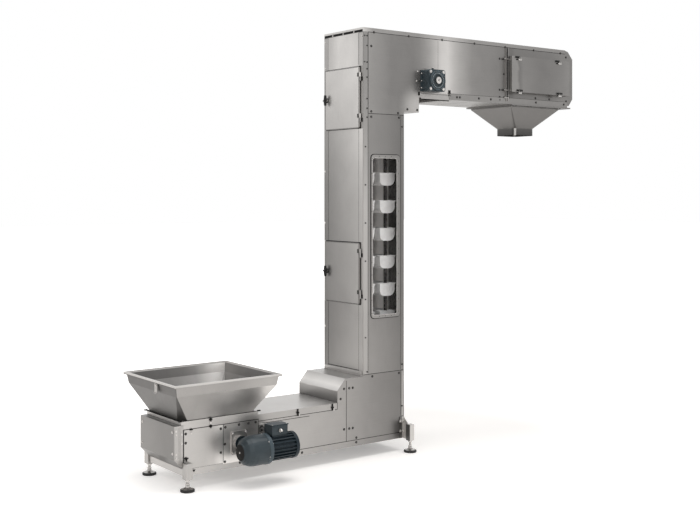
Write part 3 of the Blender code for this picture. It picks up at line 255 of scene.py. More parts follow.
def stainless(name, axis, grain, *tones, painted_light_slope=0.0, clouds=1.0, bend=0.10):
    finish = Finish(f"{name}_sheet")
    return sheet_shader(finish, painted_shading_run(finish.axis(axis), bend, *tones), grain, painted_light_slope, clouds)


# %% Sheets whose painted light and shade follow one axis
# Each run is painted light and shade: the left faces lighter towards the top, the fronts and backs darker, the
# undersides a painted reflection of the floor, the outrigger's gusset and the top of the drive plate in painted shade,
# the side panel painted lighter at its right end, and bright bands on the hood, the lid, the tail's front flange and
# the strips at the column's right edge painted highlights.
LEFT_SHEET = stainless("left", UPRIGHT, "upright", (0.7, 146), (1.0, 139), (1.6, 142), (2.1, 153), (2.5, 166),
                       (2.9, 186), (3.3, 200), (3.56, 208), painted_light_slope=-1.3)
TOP_SHEET = stainless("top", THROUGH, "upright", (-0.25, 192), (-0.1, 206), (0.06, 208), (0.16, 190), (0.27, 174))
EDGE_SHEET = stainless("edge", UPRIGHT, "upright", (2.7, 173), (3.56, 168), painted_light_slope=-0.2)
LOWER_DOOR = stainless("lower_door", UPRIGHT, "upright", (1.25, 140), (1.8, 152), painted_light_slope=-1.1)
UPPER_DOOR = stainless("upper_door", UPRIGHT, "upright", (2.75, 182), (3.0, 192), (3.3, 200), painted_light_slope=-0.35)
CORNER_SHEET = stainless("corner", UPRIGHT, "upright", (0.7, 160), (1.6, 176), (2.1, 182), (2.6, 164),
                         (2.9, 152), (3.5, 142), clouds=0.6)
FRONT_SHEET = stainless("front", ACROSS, "upright", (-0.27, 154), (0.0, 143), (0.10, 139), (0.25, 130),
                        (0.36, 121), (0.445, 111), bend=0.05)
BASE_SHEET = stainless("base", ACROSS, "level", (-1.7, 184), (-1.4, 176), (-1.25, 170), (-0.7, 162),
                       (-0.45, 156), (-0.2, 150), (0.0, 136), (0.2, 125), (0.445, 111))
PANEL_SHEET = stainless("panel", ACROSS, "level", (-1.69, 178), (-1.5, 176), (-1.43, 186), (-1.38, 216))
DRIVE_SHEET = stainless("drive", UPRIGHT, "upright", (0.15, 226), (0.32, 222), (0.39, 194), (0.44, 164))
TAIL_SHEET = stainless("tail", THROUGH, "level", (-0.281, 192), (-0.268, 118), (0.0, 125), (0.27, 132), bend=0.004)
HOOD_SHEET = stainless("hood", UPRIGHT, "level", (0.487, 88), (0.53, 118), (0.578, 150), (0.586, 196),
                       (0.62, 216), (0.652, 196), (0.672, 180), (0.679, 178), bend=0.012)
RING_SHEET = stainless("ring", ACROSS, "upright", (0.08, 152), (0.24, 142), (0.40, 130), clouds=0.6)
OUTRIGGER_SHEET = stainless("outrigger", ACROSS, "upright", (0.38, 98), (0.4185, 108), (0.4195, 186),
                            (0.47, 190), bend=0.0, clouds=0.6)
HEAD_SHEET = stainless("head", ACROSS, "level", (1.69, 116), (1.76, 112), (1.80, 120), (2.3, 124), (2.44, 133),
                       (2.56, 130), bend=0.01)
COVER_SHEET = stainless("cover", ACROSS, "level", (1.772, 142), (1.80, 118), (1.84, 131), (2.1, 123),
                        (2.3, 127), (2.45, 136))
LID_SHEET = stainless("lid", ACROSS, "level", (0.0, 202), (0.1, 152), (0.6, 148), (0.95, 190), (1.25, 150),
                      (2.55, 140))
UNDER_SHEET = stainless("under", ACROSS, "level", (0.0, 126), (0.9, 142), (2.6, 140))
STRIP_SHEET = stainless("strip", UPRIGHT, "upright", (0.2, 160), (0.69, 158), (0.75, 140), (2.9, 138), clouds=0.5)
FRAME_SHEET = stainless("frame", UPRIGHT, "upright", (0.0, 170), (1.0, 168), (3.6, 176), clouds=0.6)

# %% Sheets whose painted light and shade also follow the way a face looks
HIGHLIGHT_CENTRE = (0.60, -0.276, 2.96)
HOPPER_MIDDLE = -1.37
HOPPER_BAND_Z = 0.725
HOPPER_RIM = 0.7985
CHUTE_TOP = 3.016
SPOUT_TOP = 2.831


def boom_finish():
    """A long sheet with a painted reflection, a bright band from where two sheets meet, and a small painted highlight
    low at the elbow.
    """
    finish = Finish("boom_sheet")
    # Painted reflection: the bright band in the middle of this run.
    tone = painted_shading_run(finish.axis(ACROSS), 0.02, (0.05, 150), (0.3, 130), (0.55, 127), (0.62, 134), (0.675, 145),
                    (0.745, 163), (0.815, 184), (0.885, 202), (0.955, 206), (1.03, 184), (1.10, 168), (1.25, 140),
                    (1.65, 126))
    centre = Vector(HIGHLIGHT_CENTRE) + ORIGIN
    # Painted highlight: a soft bright spot low at the elbow.
    spread = finish.node("ShaderNodeVectorMath", {"operation": "DISTANCE"}, {0: finish.place(), 1: centre}, out=1)
    painted_highlight = finish.node("ShaderNodeMapRange", {"interpolation_type": "SMOOTHSTEP"},
                        {"Value": spread, "From Min": 0.02, "From Max": 0.23, "To Min": 1.0, "To Max": 0.0})
    return sheet_shader(finish, finish.mix(painted_highlight * 0.8, tone, lit(196)), "level")


def deck_finish():
    """Bright on top, where it sees the sky, and duller on its skirts."""
    finish = Finish("deck_sheet")
    along = finish.axis(ACROSS)
    top = painted_shading_run(along, 0.1, (-1.2, 182), (-0.3, 187), (0.0, 180))
    skirt = painted_shading_run(along, 0.1, (-1.7, 182), (-1.0, 164), (-0.3, 158))
    return sheet_shader(finish, finish.mix(finish.normal(UPRIGHT) > 0.6, skirt, top), "level")


def chute_finish():
    """Plain walls with painted shade on the fold at each corner, a spout with painted highlights on its round corners
    and painted shade towards its foot, and a flange with painted shade underneath.
    """
    finish = Finish("chute_sheet")
    corner = (finish.normal(ACROSS).size() > 0.35) * (finish.normal(THROUGH).size() > 0.35)
    height = finish.axis(UPRIGHT)
    # Painted shade on the corner folds of the walls.
    wall = finish.mix(corner, painted_shading_run(height, 0.02, (2.83, 105), (2.90, 112), (3.0, 115)), lit(88))
    # Painted shade towards the spout's foot, and painted highlights on its round corners.
    spout = painted_shading_run(height, 0.0, (2.764, 44), (2.771, 76), (2.82, 88), (SPOUT_TOP, 98))
    tone = finish.mix(height > SPOUT_TOP, finish.mix(corner, spout, lit(172)), wall)
    # Painted shade under the flange.
    flange = finish.mix(finish.normal(UPRIGHT) < -0.6, lit(128), lit(58))
    return sheet_shader(finish, finish.mix(height > CHUTE_TOP, tone, flange), "upright", clouds=0.7)


def hopper_finish():
    """The hopper's walls turn different ways, and each way has its own painted light and shade: outside, inside of the
    back wall, left, and a rim in painted highlight.
    """
    finish = Finish("hopper_sheet")
    along = finish.axis(ACROSS)
    upper = finish.axis(UPRIGHT) > HOPPER_BAND_Z
    walls = painted_shading_run(along, 0.05, (-1.81, 156), (-1.62, 162), (-1.51, 184), (-1.40, 205), (-1.33, 194),
                     (-1.24, 172), (-1.15, 165), (-1.08, 182), (-1.02, 206))
    walls = finish.mix(upper, walls, painted_shading_run(along, 0.05, (-1.81, 157), (-1.3, 148), (-1.0, 164)))
    band = painted_shading_run(along, 0.04, (-1.8, 100), (-1.65, 103), (-1.45, 112), (-1.33, 124), (-1.22, 146),
                    (-1.14, 180), (-1.06, 226), (-0.98, 250))
    slope = painted_shading_run(along, 0.05, (-1.8, 104), (-1.45, 118), (-1.22, 146), (-1.08, 188), (-1.0, 206))
    inside = (finish.normal(THROUGH) < 0) * (finish.axis(THROUGH) > 0)
    walls = finish.mix(inside, walls, finish.mix(upper, slope, band))
    # Painted shade on the walls that face left.
    ends = finish.mix(along > HOPPER_MIDDLE, lit(98), lit(115))
    walls = finish.mix(finish.normal(ACROSS) < -0.4, walls, ends)
    # Painted highlight along the rim.
    return sheet_shader(finish, finish.mix(finish.axis(UPRIGHT) > HOPPER_RIM, walls, lit(192)), "upright",
                        roughness=0.38)


BOOM_SHEET = boom_finish()
HOPPER_SHEET = hopper_finish()
DECK_SHEET = deck_finish()
CHUTE_SHEET = chute_finish()
sheet_count = len([material for material in bpy.data.materials if material.name.endswith("_sheet")])
print("stainless finishes:", sheet_count)

# %% [markdown]
# ## Cast, machined and moulded parts
# The drives are cast housings under satin blue-grey paint, which shows a faint orange-peel skin,
# paler patches and a paler band on the rim of the motor flange. Turned parts are bright and
# nearly free of colour. Latches are black moulded plastic. The seat of the lower bearing is
# painted, so its finish changes with the distance from the shaft. The feet are black below and
# steel above, so theirs changes with height.

# %% Paint, machined steel, plastic and rubber
FLANGE_FROM, FLANGE_TO = -1.1212, -1.0890
RIM_PAINT = (0.062, 0.084, 0.098)
SEAT_PAINT = (0.030, 0.044, 0.054)
SHAFT_X, SHAFT_Z = -1.2125, 0.2975
SEAT_RADIUS = 0.0545
FOOT_SOLE = 0.022


def painted(name, colour, roughness=0.42):
    finish = Finish(name)
    skin = finish.noise(240.0, 2.0)
    dust = finish.noise(9.0, 4.0, distortion=0.5)
    pale = tuple(min(1, 1.9 * value + 0.02) for value in colour)
    along = finish.axis(ACROSS)
    rim = (along > FLANGE_FROM) * (along < FLANGE_TO)
    shade = finish.mix(rim, finish.mix((dust - 0.35) * 0.9, colour, pale), RIM_PAINT)
    return finish.set(Base_Color=shade, Roughness=roughness + (dust - 0.5) * 0.25, Specular_IOR_Level=0.25,
                      Normal=finish.bump(skin, 0.25, 0.0006))


def machined(name, tone, roughness=0.22):
    finish = Finish(name)
    haze = finish.noise(30.0, 3.0)
    shade = finish.ramp(haze, (0.2, grey(tone - 22)), (0.8, grey(tone + 14)))
    return finish.set(Base_Color=shade, Roughness=roughness + (haze - 0.5) * 0.2, Metallic=1.0,
                      Normal=finish.bump(finish.noise(300.0, 2.0), 0.06, 0.0003))


def moulded(name, tone, roughness=0.5):
    finish = Finish(name)
    wear = finish.noise(25.0, 3.0)
    shade = finish.ramp(wear, (0.3, grey(tone)), (0.9, grey(tone + 16)))
    return finish.set(Base_Color=shade, Roughness=roughness + (wear - 0.5) * 0.2, Specular_IOR_Level=0.15,
                      Normal=finish.bump(finish.noise(420.0, 2.0), 0.2, 0.0004))


def bearing_finish():
    finish = Finish("bearing_steel")
    beside = finish.axis(ACROSS) - SHAFT_X
    above = finish.axis(UPRIGHT) - SHAFT_Z
    seat = beside * beside + above * above < SEAT_RADIUS ** 2
    haze = finish.noise(30.0, 3.0)
    shade = finish.mix(seat, finish.ramp(haze, (0.2, grey(160)), (0.8, grey(184))), SEAT_PAINT)
    return finish.set(Base_Color=shade, Roughness=0.38 + (haze - 0.5) * 0.2, Metallic=1 - seat,
                      Normal=finish.bump(haze, 0.06, 0.0003))


def foot_finish():
    finish = Finish("foot_finish")
    steel = finish.axis(UPRIGHT) > FOOT_SOLE
    haze = finish.noise(60.0, 3.0)
    rubber = finish.ramp(haze, (0.3, grey(22)), (0.9, grey(40)))
    metal = finish.ramp(haze, (0.2, grey(110)), (0.8, grey(200)))
    return finish.set(Base_Color=finish.mix(steel, rubber, metal), Metallic=steel,
                      Roughness=0.72 - steel * 0.5 + (haze - 0.5) * 0.12, Normal=finish.bump(haze, 0.1, 0.0005))


DRIVE_PAINT = painted("drive_paint", (0.006, 0.014, 0.020))
PALE_PAINT = painted("pale_drive_paint", (0.031, 0.043, 0.050), 0.36)
EDGE_PAINT = painted("edge_paint", (0.070, 0.095, 0.110), 0.34)
# Painted shade: the casing's bolts and washers are dark as if in shade; the washers' dark steel also serves the hinges,
# the door fittings and the window's screws.
BOLT_PAINTED_SHADE = machined("bolt_painted_shade", 78, 0.35)
WASHER_SHADE_AND_DARK_STEEL = machined("washer_shade_and_dark_steel", 62, 0.5)
DARK_STEEL = machined("dark_steel", 84, 0.4)
BOLT_STEEL = machined("bolt_steel", 196, 0.28)
BRIGHT_STEEL = machined("bright_steel", 205)
FOLD_SHADE_GREY = moulded("fold_shade_grey", 92, 0.6)
LATCH_BLACK = moulded("latch_black", 26)
SEAL_BLACK = moulded("seal_black", 14, 0.7)
BEARING_STEEL = bearing_finish()
FOOT_FINISH = foot_finish()
print("finishes so far:", len(bpy.data.materials))

# %% [markdown]
# ## White buckets, clear window and the wall behind
# The buckets are moulded in white plastic that has turned a little grey with use. The window is a
# clear sheet: mostly see-through, with a faint haze and a soft shine, so the alpha stays low and a
# little of it follows the haze. The wall behind the chain carries painted shade, black near the front
# and grey further in. Hardly any lamp light enters the closed column, so that grey also glows very
# faintly, a painted light that stands in for the light inside.

# %% Bucket plastic, window sheet and inner wall
def bucket_finish():
    finish = Finish("bucket_plastic")
    cloud = finish.noise(14.0, 4.0, distortion=0.6)
    shade = finish.ramp(cloud, (0.2, grey(226, 0.012)), (0.6, grey(244, 0.006)), (0.9, grey(252, 0.004)))
    return finish.set(Base_Color=shade, Roughness=0.42 + (cloud - 0.5) * 0.2,
                      Normal=finish.bump(finish.noise(300.0, 2.0), 0.08, 0.0004))


def window_finish():
    finish = Finish("window_clear")
    haze = finish.noise(6.0, 3.0, distortion=0.4)
    return finish.set(Base_Color=finish.ramp(haze, (0.2, grey(150)), (0.8, grey(190))), Alpha=0.01 + haze * 0.03,
                      Roughness=0.08 + haze * 0.06, Normal=finish.bump(haze, 0.02, 0.001))


def inner_finish():
    finish = Finish("inner_sheet")
    depth = finish.axis(THROUGH)
    # Painted shade: dark near the front of the column, light further in.
    tone = painted_shading_run(depth, 0.02, (-0.27, 40), (-0.12, 52), (-0.085, 64), (-0.06, 215), (0.0, 240), (0.09, 240),
                    (0.15, 200), (0.27, 160))
    # Painted light: a faint glow stands in for the little light inside the column.
    glow = finish.ramp(depth, (0.0, grey(0)), (0.0, grey(70)), (0.06, grey(82)), (0.14, grey(30)))
    haze = finish.noise(30.0, 3.0)
    return finish.set(Base_Color=tone, Emission_Color=glow, Emission_Strength=1.0, Specular_IOR_Level=0.1,
                      Roughness=0.62 + (haze - 0.5) * 0.2, Normal=finish.bump(haze, 0.05, 0.0004))


BUCKET_PLASTIC = bucket_finish()
WINDOW_CLEAR = window_finish()
INNER_SHEET = inner_finish()

# %% [markdown]
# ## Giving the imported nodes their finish
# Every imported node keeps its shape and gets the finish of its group. A dictionary from finish to
# node names keeps the choice in one place.

# %% Assign the finishes to the nodes
NODE_FINISH = {
    LEFT_SHEET: "left_lower_panel left_middle_panel",
    TOP_SHEET: "left_top_panel",
    LOWER_DOOR: "lower_door",
    UPPER_DOOR: "upper_door",
    CORNER_SHEET: "left_front_post left_back_post",
    FRONT_SHEET: "column_front_panel column_back_panel column_right_panel boot_end_plate",
    FRAME_SHEET: "tail_front_leg tail_back_leg hopper_hook",
    RING_SHEET: "window_frame",
    OUTRIGGER_SHEET: "column_front_leg column_back_leg",
    BASE_SHEET: "boot_front_plate boot_back_plate base_front_plate base_back_plate base_pan",
    PANEL_SHEET: "inspection_panel",
    DRIVE_SHEET: "drive_plate",
    TAIL_SHEET: "tail_cover",
    DECK_SHEET: "base_deck base_cover hopper_flange",
    HOOD_SHEET: "boot_hood",
    LID_SHEET: "boom_lid",
    BOOM_SHEET: "boom_front_plate boom_back_plate",
    UNDER_SHEET: "elbow_bottom boom_pan",
    HEAD_SHEET: "head_front_plate head_back_plate head_end_cover",
    COVER_SHEET: "head_cover",
    HOPPER_SHEET: "hopper",
    CHUTE_SHEET: "discharge_flange discharge_chute",
    DRIVE_PAINT: "drive_motor",
    PALE_PAINT: "gear_reducer terminal_box upper_gearbox",
    BEARING_STEEL: "drive_bearing",
    BRIGHT_STEEL: "upper_gearbox_hub base_drive_shaft upper_drive_shaft",
    LATCH_BLACK: "lower_handle upper_handle",
    FOOT_FINISH: "tail_front_foot tail_back_foot column_front_foot column_back_foot",
    WINDOW_CLEAR: "window_pane",
    BUCKET_PLASTIC: "bucket_chain",
}
dressed = 0
for finish, names in NODE_FINISH.items():
    for name in names.split():
        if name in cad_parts:
            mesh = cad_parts[name].data
            mesh.materials.clear()
            mesh.materials.append(finish)
            dressed += 1
print("nodes dressed:", dressed, "of", len(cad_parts))

# %% [markdown]
# ## Making a new piece
# New pieces are drawn in the machine's own measures, then moved once by the origin vector, so each
# object stays at the scene's origin with its place in its mesh. Each piece rides on a body, so a
# latch on a door turns with the door.

# %% Finish a bmesh as a piece that rides on a body
SHARP_ABOVE = math.radians(35)


def piece(name, bm, finish, body="machine"):
    bmesh.ops.translate(bm, verts=bm.verts, vec=ORIGIN)
    mesh = bpy.data.meshes.new(name)
    bm.to_mesh(mesh)
    bm.free()
    mesh.materials.append(finish)
    mesh.shade_smooth()
    mesh.set_sharp_from_angle(angle=SHARP_ABOVE)
    obj = bpy.data.objects.new(name, mesh)
    scene.collection.objects.link(obj)
    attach(obj, body)
    print(name, "faces:", len(mesh.polygons))
    return obj


def facing(place, normal):
    """Matrix that lays a thing's Z along a face's outward normal, with its Y up the face."""
    up = UP if abs(normal.z) < 0.9 else BACK
    side = up.cross(normal).normalized()
    turn = Matrix((side, normal.cross(side), normal)).transposed().to_4x4()
    return Matrix.Translation(Vector(place)) @ turn


# %% Boxes with eased edges, bars between two points, rods, bolts and turned shapes
def add_box(bm, matrix, size, ease):
    made = bmesh.ops.create_cube(bm, size=1.0, matrix=matrix @ Matrix.Diagonal((*size, 1)))
    edges = list({edge for vert in made["verts"] for edge in vert.link_edges})
    if ease:
        bmesh.ops.bevel(bm, geom=edges, offset=ease, offset_type="OFFSET", segments=1, profile=0.5,
                        affect="EDGES", material=-1)


def add_bar(bm, start, end, normal, width, depth, ease=0.0):
    """Bar on a face, from one place to another."""
    start, end = Vector(start), Vector(end)
    along = (end - start).normalized()
    turn = Matrix((along, normal.cross(along), normal)).transposed().to_4x4()
    middle = (start + end) / 2 + normal * (depth / 2)
    add_box(bm, Matrix.Translation(middle) @ turn, ((end - start).length, width, depth), ease)


def add_bars(bm, sides, width, depth, ease, *lines, proud=0.0):
    """The same bar along several lines, on each of the sides."""
    for low, high in lines:
        for place, normal in sides:
            add_bar(bm, place(*low, proud), place(*high, proud), normal, width, depth, ease)


def add_rod(bm, start, end, radius, segments=12, radius_end=None):
    start, along = Vector(start), Vector(end) - Vector(start)
    turn = along.to_track_quat("Z", "Y").to_matrix().to_4x4()
    bmesh.ops.create_cone(bm, cap_ends=True, segments=segments, radius1=radius,
                          radius2=radius if radius_end is None else radius_end, depth=along.length,
                          matrix=Matrix.Translation(start + along / 2) @ turn)


def add_bolt(bm, place, normal, size=0.0062, washer=None):
    """Hexagon bolt on its washer, which can go into a mesh of its own."""
    spot = Vector(place)
    seat, edge, crown = (spot + normal * size * rise for rise in (0.22, 0.85, 1.05))
    add_rod(bm if washer is None else washer, spot, seat, size * 1.75, 12, size * 1.7)
    add_rod(bm, seat, edge, size * 1.12, 6)
    add_rod(bm, edge, crown, size * 1.12, 6, size * 0.8)


def add_turned(bm, place, normal, steps, *profile):
    """Turned shape on a face: (radius, height above the face) pairs spun about the normal."""
    part = bmesh.new()
    verts = [part.verts.new((radius, 0, height)) for radius, height in profile]
    edges = [part.edges.new(pair) for pair in zip(verts, verts[1:])]
    bmesh.ops.spin(part, geom=verts + edges, cent=(0, 0, 0), axis=(0, 0, 1), dvec=(0, 0, 0),
                   angle=math.tau, steps=steps, use_merge=True)
    bmesh.ops.remove_doubles(part, verts=part.verts, dist=0.00002)
    bmesh.ops.recalc_face_normals(part, faces=part.faces)
    bmesh.ops.transform(part, matrix=facing(place, normal), verts=part.verts)
    add_mesh(bm, part)


def add_mesh(bm, part):
    """Join one bmesh into another."""
    holder = bpy.data.meshes.new("part")
    part.to_mesh(holder)
    part.free()
    bm.from_mesh(holder)
    bpy.data.meshes.remove(holder)


def on_circle(count, radius, turn=0.0):
    """Pairs of offsets, evenly spaced on a circle."""
    angles = [math.tau * (number + turn) / count for number in range(count)]
    return [(radius * math.cos(angle), radius * math.sin(angle)) for angle in angles]


# %% [markdown]
# ## The chain loop
# Two roller chains run side by side round the whole machine and carry the buckets between them.
# The loop is straight runs joined by six turns. Walking along it in equal steps gives a place for
# each link, and every sixth link carries a bucket, which always hangs upright on its pin. The walk
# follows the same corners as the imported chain, so every bucket lands on its packed place.

# %% Walk along the loop
TURN = 0.0975
UP_X, DOWN_X = 0.10, 0.325
HEAD_X = 2.388
HEAD_Z = 3.19 + 2 * TURN
ARCS = [((-1.53, SHAFT_Z), 270, 90), ((UP_X - TURN, SHAFT_Z + 2 * TURN), 270, 360), ((UP_X + TURN, HEAD_Z), 180, 90),
        ((HEAD_X, HEAD_Z), 90, -90), ((DOWN_X + TURN, HEAD_Z - 2 * TURN), 90, 180), ((DOWN_X - TURN, SHAFT_Z), 0, -90)]
BUCKET_PITCH = 0.236
ANCHOR_Z = 2.354
LINKS_PER_BUCKET = 6
corners = []
for (centre_x, centre_z), start, end in ARCS:
    steps = round(abs(end - start) / 15)
    for step in range(steps + 1):
        angle = math.radians(start + (end - start) * step / steps)
        corners.append(Vector((centre_x + TURN * math.cos(angle), 0, centre_z + TURN * math.sin(angle))))
runs = list(zip(corners, corners[1:] + corners[:1]))
loop_length = sum((b - a).length for a, b in runs)
bucket_count = round(loop_length / BUCKET_PITCH)
print("loop:", round(loop_length, 3), "m, buckets:", bucket_count)


def along_loop(distance):
    """Place on the loop and the direction of travel there."""
    distance %= loop_length
    for a, b in runs:
        length = (b - a).length
        if distance <= length:
            return a + (b - a) * (distance / length), (b - a) / length
        distance -= length
    return corners[0], (corners[1] - corners[0]).normalized()


anchor = 0.0
for a, b in runs:
    if abs(a.x - DOWN_X) < 0.001 and abs(b.x - DOWN_X) < 0.001 and a.z > ANCHOR_Z > b.z:
        anchor += a.z - ANCHOR_Z
        break
    anchor += (b - a).length
step_length = loop_length / bucket_count

# %% [markdown]
# ## One bucket
# A moulded bucket is a trough with round lower corners, a rolled rim, two thick end walls and a rib
# round its middle. The trough starts as a cube without its top, whose long lower edges are bevelled
# round, and its wall gets its thickness last. The end walls and ribs are one outline at different
# sizes, drawn as a face and pushed out. An end wall has a raised border and a small spout lip.

# %% Model the trough once
BUCKET_HALF = Vector((0.0815, 0.165, 0.0545))
BUCKET_MIDDLE = -0.0245
BUCKET_CORNER = 0.043
RIM_ROLL = 0.004
WALL_TOP, WALL_BOTTOM = 0.030, -0.079
RIB_NEAR, RIB_FAR = 0.092, 0.098
END_NEAR, END_FAR = 0.1640, 0.1985
bucket = bmesh.new()
bmesh.ops.create_cube(bucket, size=1.0, matrix=Matrix.Translation((0, 0, BUCKET_MIDDLE))
                      @ Matrix.Diagonal((*(2 * (BUCKET_HALF - Vector((RIM_ROLL, 0, 0)))), 1)))
top = max(bucket.faces, key=lambda face: face.normal.z)
bmesh.ops.delete(bucket, geom=[top], context="FACES_ONLY")
low = [edge for edge in bucket.edges
       if all(vert.co.z < BUCKET_MIDDLE for vert in edge.verts) and abs(edge.verts[0].co.y - edge.verts[1].co.y) > 0.1]
bmesh.ops.bevel(bucket, geom=low, offset=BUCKET_CORNER - RIM_ROLL, offset_type="OFFSET", segments=5, profile=0.5,
                affect="EDGES", material=-1)
rim = [edge for edge in bucket.edges if edge.is_boundary]
lip = bmesh.ops.extrude_edge_only(bucket, edges=rim)
for vert in [item for item in lip["geom"] if isinstance(item, bmesh.types.BMVert)]:
    vert.co.x += math.copysign(RIM_ROLL, vert.co.x)
bmesh.ops.recalc_face_normals(bucket, faces=bucket.faces)
if max(bucket.faces, key=lambda face: face.calc_area()).normal.z > 0:
    bmesh.ops.reverse_faces(bucket, faces=bucket.faces)
bmesh.ops.solidify(bucket, geom=bucket.faces[:], thickness=0.0024)


# %% End walls and ribs from one outline
def add_wall(bm, near, far, size=1.0, spout=0.0, border=0.0):
    """Plate across the bucket between two Y, with round lower corners."""
    half_x, deep, corner = BUCKET_HALF.x * size, WALL_BOTTOM - (size - 1) * 0.05, BUCKET_CORNER * size
    outline = [(-half_x, WALL_TOP), (half_x + spout, WALL_TOP), (half_x, WALL_TOP - 0.016)]
    for reach, start in ((corner * 1.35, 0), (corner * 1.1, -90)):
        centre_x = half_x - reach if start == 0 else reach - half_x
        for step in range(6):
            angle = math.radians(start - 90 * step / 5)
            outline.append((centre_x + reach * math.cos(angle), deep + reach + reach * math.sin(angle)))
    part = bmesh.new()
    face = part.faces.new([part.verts.new((x, near, z)) for x, z in outline])
    grown = bmesh.ops.extrude_face_region(part, geom=[face])
    moved = [item for item in grown["geom"] if isinstance(item, bmesh.types.BMVert)]
    bmesh.ops.translate(part, verts=moved, vec=(0, far - near, 0))
    bmesh.ops.recalc_face_normals(part, faces=part.faces)
    if border:
        outer = max(part.faces, key=lambda item: abs(item.normal.y) * 10 + abs(item.calc_center_median().y))
        bmesh.ops.inset_region(part, faces=[outer], thickness=border, depth=0.0)
        bmesh.ops.inset_region(part, faces=[outer], thickness=0.0015, depth=-0.0015)
    add_mesh(bm, part)


for side in (-1, 1):
    add_wall(bucket, side * RIB_NEAR, side * RIB_FAR, 1.035)
trough_form = bpy.data.meshes.new("trough_form")
bucket.to_mesh(trough_form)
for side in (-1, 1):
    add_wall(bucket, side * END_NEAR, side * END_FAR, spout=0.011, border=0.008)
bucket_form = bpy.data.meshes.new("bucket_form")
bucket.to_mesh(bucket_form)
bucket.free()
print("bucket faces:", len(bucket_form.polygons))

# %% Hang a bucket at every sixth link
PIN_FROM, PIN_TO, PIN_RADIUS = 0.163, 0.187, 0.006
buckets = bmesh.new()
pins = bmesh.new()
for number in range(bucket_count):
    spot, travel = along_loop(anchor + number * step_length)
    upright_run = abs(travel.z) > 0.999
    first = len(buckets.verts)
    buckets.from_mesh(bucket_form if upright_run else trough_form)
    buckets.verts.ensure_lookup_table()
    bmesh.ops.translate(buckets, verts=buckets.verts[first:], vec=spot)
    for side in (-1, 1):
        add_rod(pins, spot + BACK * side * PIN_FROM, spot + BACK * side * PIN_TO, PIN_RADIUS, 8)
bucket_set = piece("bucket_set", buckets, BUCKET_PLASTIC)
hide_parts("bucket_chain")
bpy.data.meshes.remove(bucket_form)
bpy.data.meshes.remove(trough_form)

# %% [markdown]
# ## Roller chain
# A roller chain is pairs of side plates on rollers, the pairs in turn inside and outside. Here a
# plate is a stretched octagon, which is enough at this size, and a roller is a short rod. There
# are several hundred of each, so each has only a few faces.

# %% Links and rollers along both sides
CHAIN_Y = 0.177
PLATE_REACH, PLATE_THICKNESS, PLATE_HALF_HEIGHT = 0.0085, 0.0016, 0.0095
INNER_SPREAD, OUTER_SPREAD = 0.0040, 0.0062
ROLLER_RADIUS, ROLLER_HALF = 0.0085, 0.0052
link_count = bucket_count * LINKS_PER_BUCKET
link_pitch = loop_length / link_count
plate_shape = (Matrix.Diagonal((link_pitch / 2 + PLATE_REACH, PLATE_THICKNESS, PLATE_HALF_HEIGHT, 1))
               @ Matrix.Rotation(math.pi / 2, 4, "X") @ Matrix.Rotation(math.pi / 8, 4, "Z"))
for number in range(link_count):
    here, travel = along_loop(anchor + number * link_pitch)
    there, travel = along_loop(anchor + (number + 1) * link_pitch)
    across = (there - here).normalized()
    spread = OUTER_SPREAD if number % 2 else INNER_SPREAD
    turn = Matrix((across, BACK, across.cross(BACK))).transposed().to_4x4()
    for side in (-1, 1):
        for plate in (-1, 1):
            middle = (here + there) / 2 + BACK * (side * CHAIN_Y + plate * spread)
            bmesh.ops.create_cone(pins, cap_ends=True, segments=8, radius1=1.0, radius2=1.0, depth=1.0,
                                  matrix=Matrix.Translation(middle) @ turn @ plate_shape)
        roller = here + BACK * side * CHAIN_Y
        add_rod(pins, roller - BACK * ROLLER_HALF, roller + BACK * ROLLER_HALF, ROLLER_RADIUS, 8)
chain = piece("roller_chain", pins, DARK_STEEL)
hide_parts("bucket_chain")

# %% [markdown]
# ## Seams and edge strips
# The casing is made of folded sheets that meet in narrow gaps, and the gaps read as thin dark
# lines from a distance. A seam is a low dark bar along two points on a face. A rubber gasket lies
# round the hopper's foot, with a wider black strip on its left side as a painted shadow of the gap
# there. Where a sheet laps over another, a thin strip with an eased edge shows the lap, and its
# brighter tone is painted light.

# %% Seams
COLUMN_LINE_X = 0.4128
seams = bmesh.new()
add_bars(seams, BOTH, 0.0042, 0.0005, 0, ((0.052, 3.5640), (2.49, 3.5640)), ((0.050, 2.880), (0.445, 2.880)),
         ((0.0, 0.690), (0.445, 0.690)), ((0.052, 0.70), (0.052, 3.56)), ((-1.689, 0.158), (0.445, 0.158)),
         ((-0.175, 0.16), (-0.175, 0.66)), ((1.682, 3.06), (1.682, 3.563)), ((-1.03, 0.4345), (-0.268, 0.4345)),
         ((-1.689, 0.4515), (-1.03, 0.4515)), ((0.973, 3.0955), (2.52, 3.0955)), ((-0.268, 0.4345), (-0.268, 0.487)))
add_bars(seams, BOTH, 0.004, 0.0006, 0, ((COLUMN_LINE_X, 0.70), (COLUMN_LINE_X, 2.876)),
         ((COLUMN_LINE_X, 0.30), (COLUMN_LINE_X, 0.684)))
add_bars(seams, AT_FRONT, 0.0015, 0.0005, 0, ((0.838, 3.12), (0.838, 3.555)))
add_bars(seams, AT_FRONT, 0.004, 0.0005, 0, ((-1.0, 0.415), (-0.548, 0.415)))
add_bars(seams, AT_FRONT, 0.002, 0.0005, 0, ((0.055, 3.566), (0.055, 2.885)), ((-1.727, 0.24), (-1.727, 0.475)))
for width, line in ((0.004, ((-1.3505, 0.162), (-1.3505, 0.449))), (0.006, ((-1.689, 0.160), (-1.689, 0.4515))),
                    (0.003, ((-1.036, 0.162), (-1.036, 0.449))), (0.004, ((-1.689, 0.4515), (-1.036, 0.4515)))):
    add_bars(seams, AT_FRONT, width, 0.0005, 0, line, proud=PANEL_FACE)
add_bars(seams, AT_LEFT, 0.021, 0.0008, 0, ((-0.270, 3.5725), (0.272, 3.5725)), proud=0.0002)
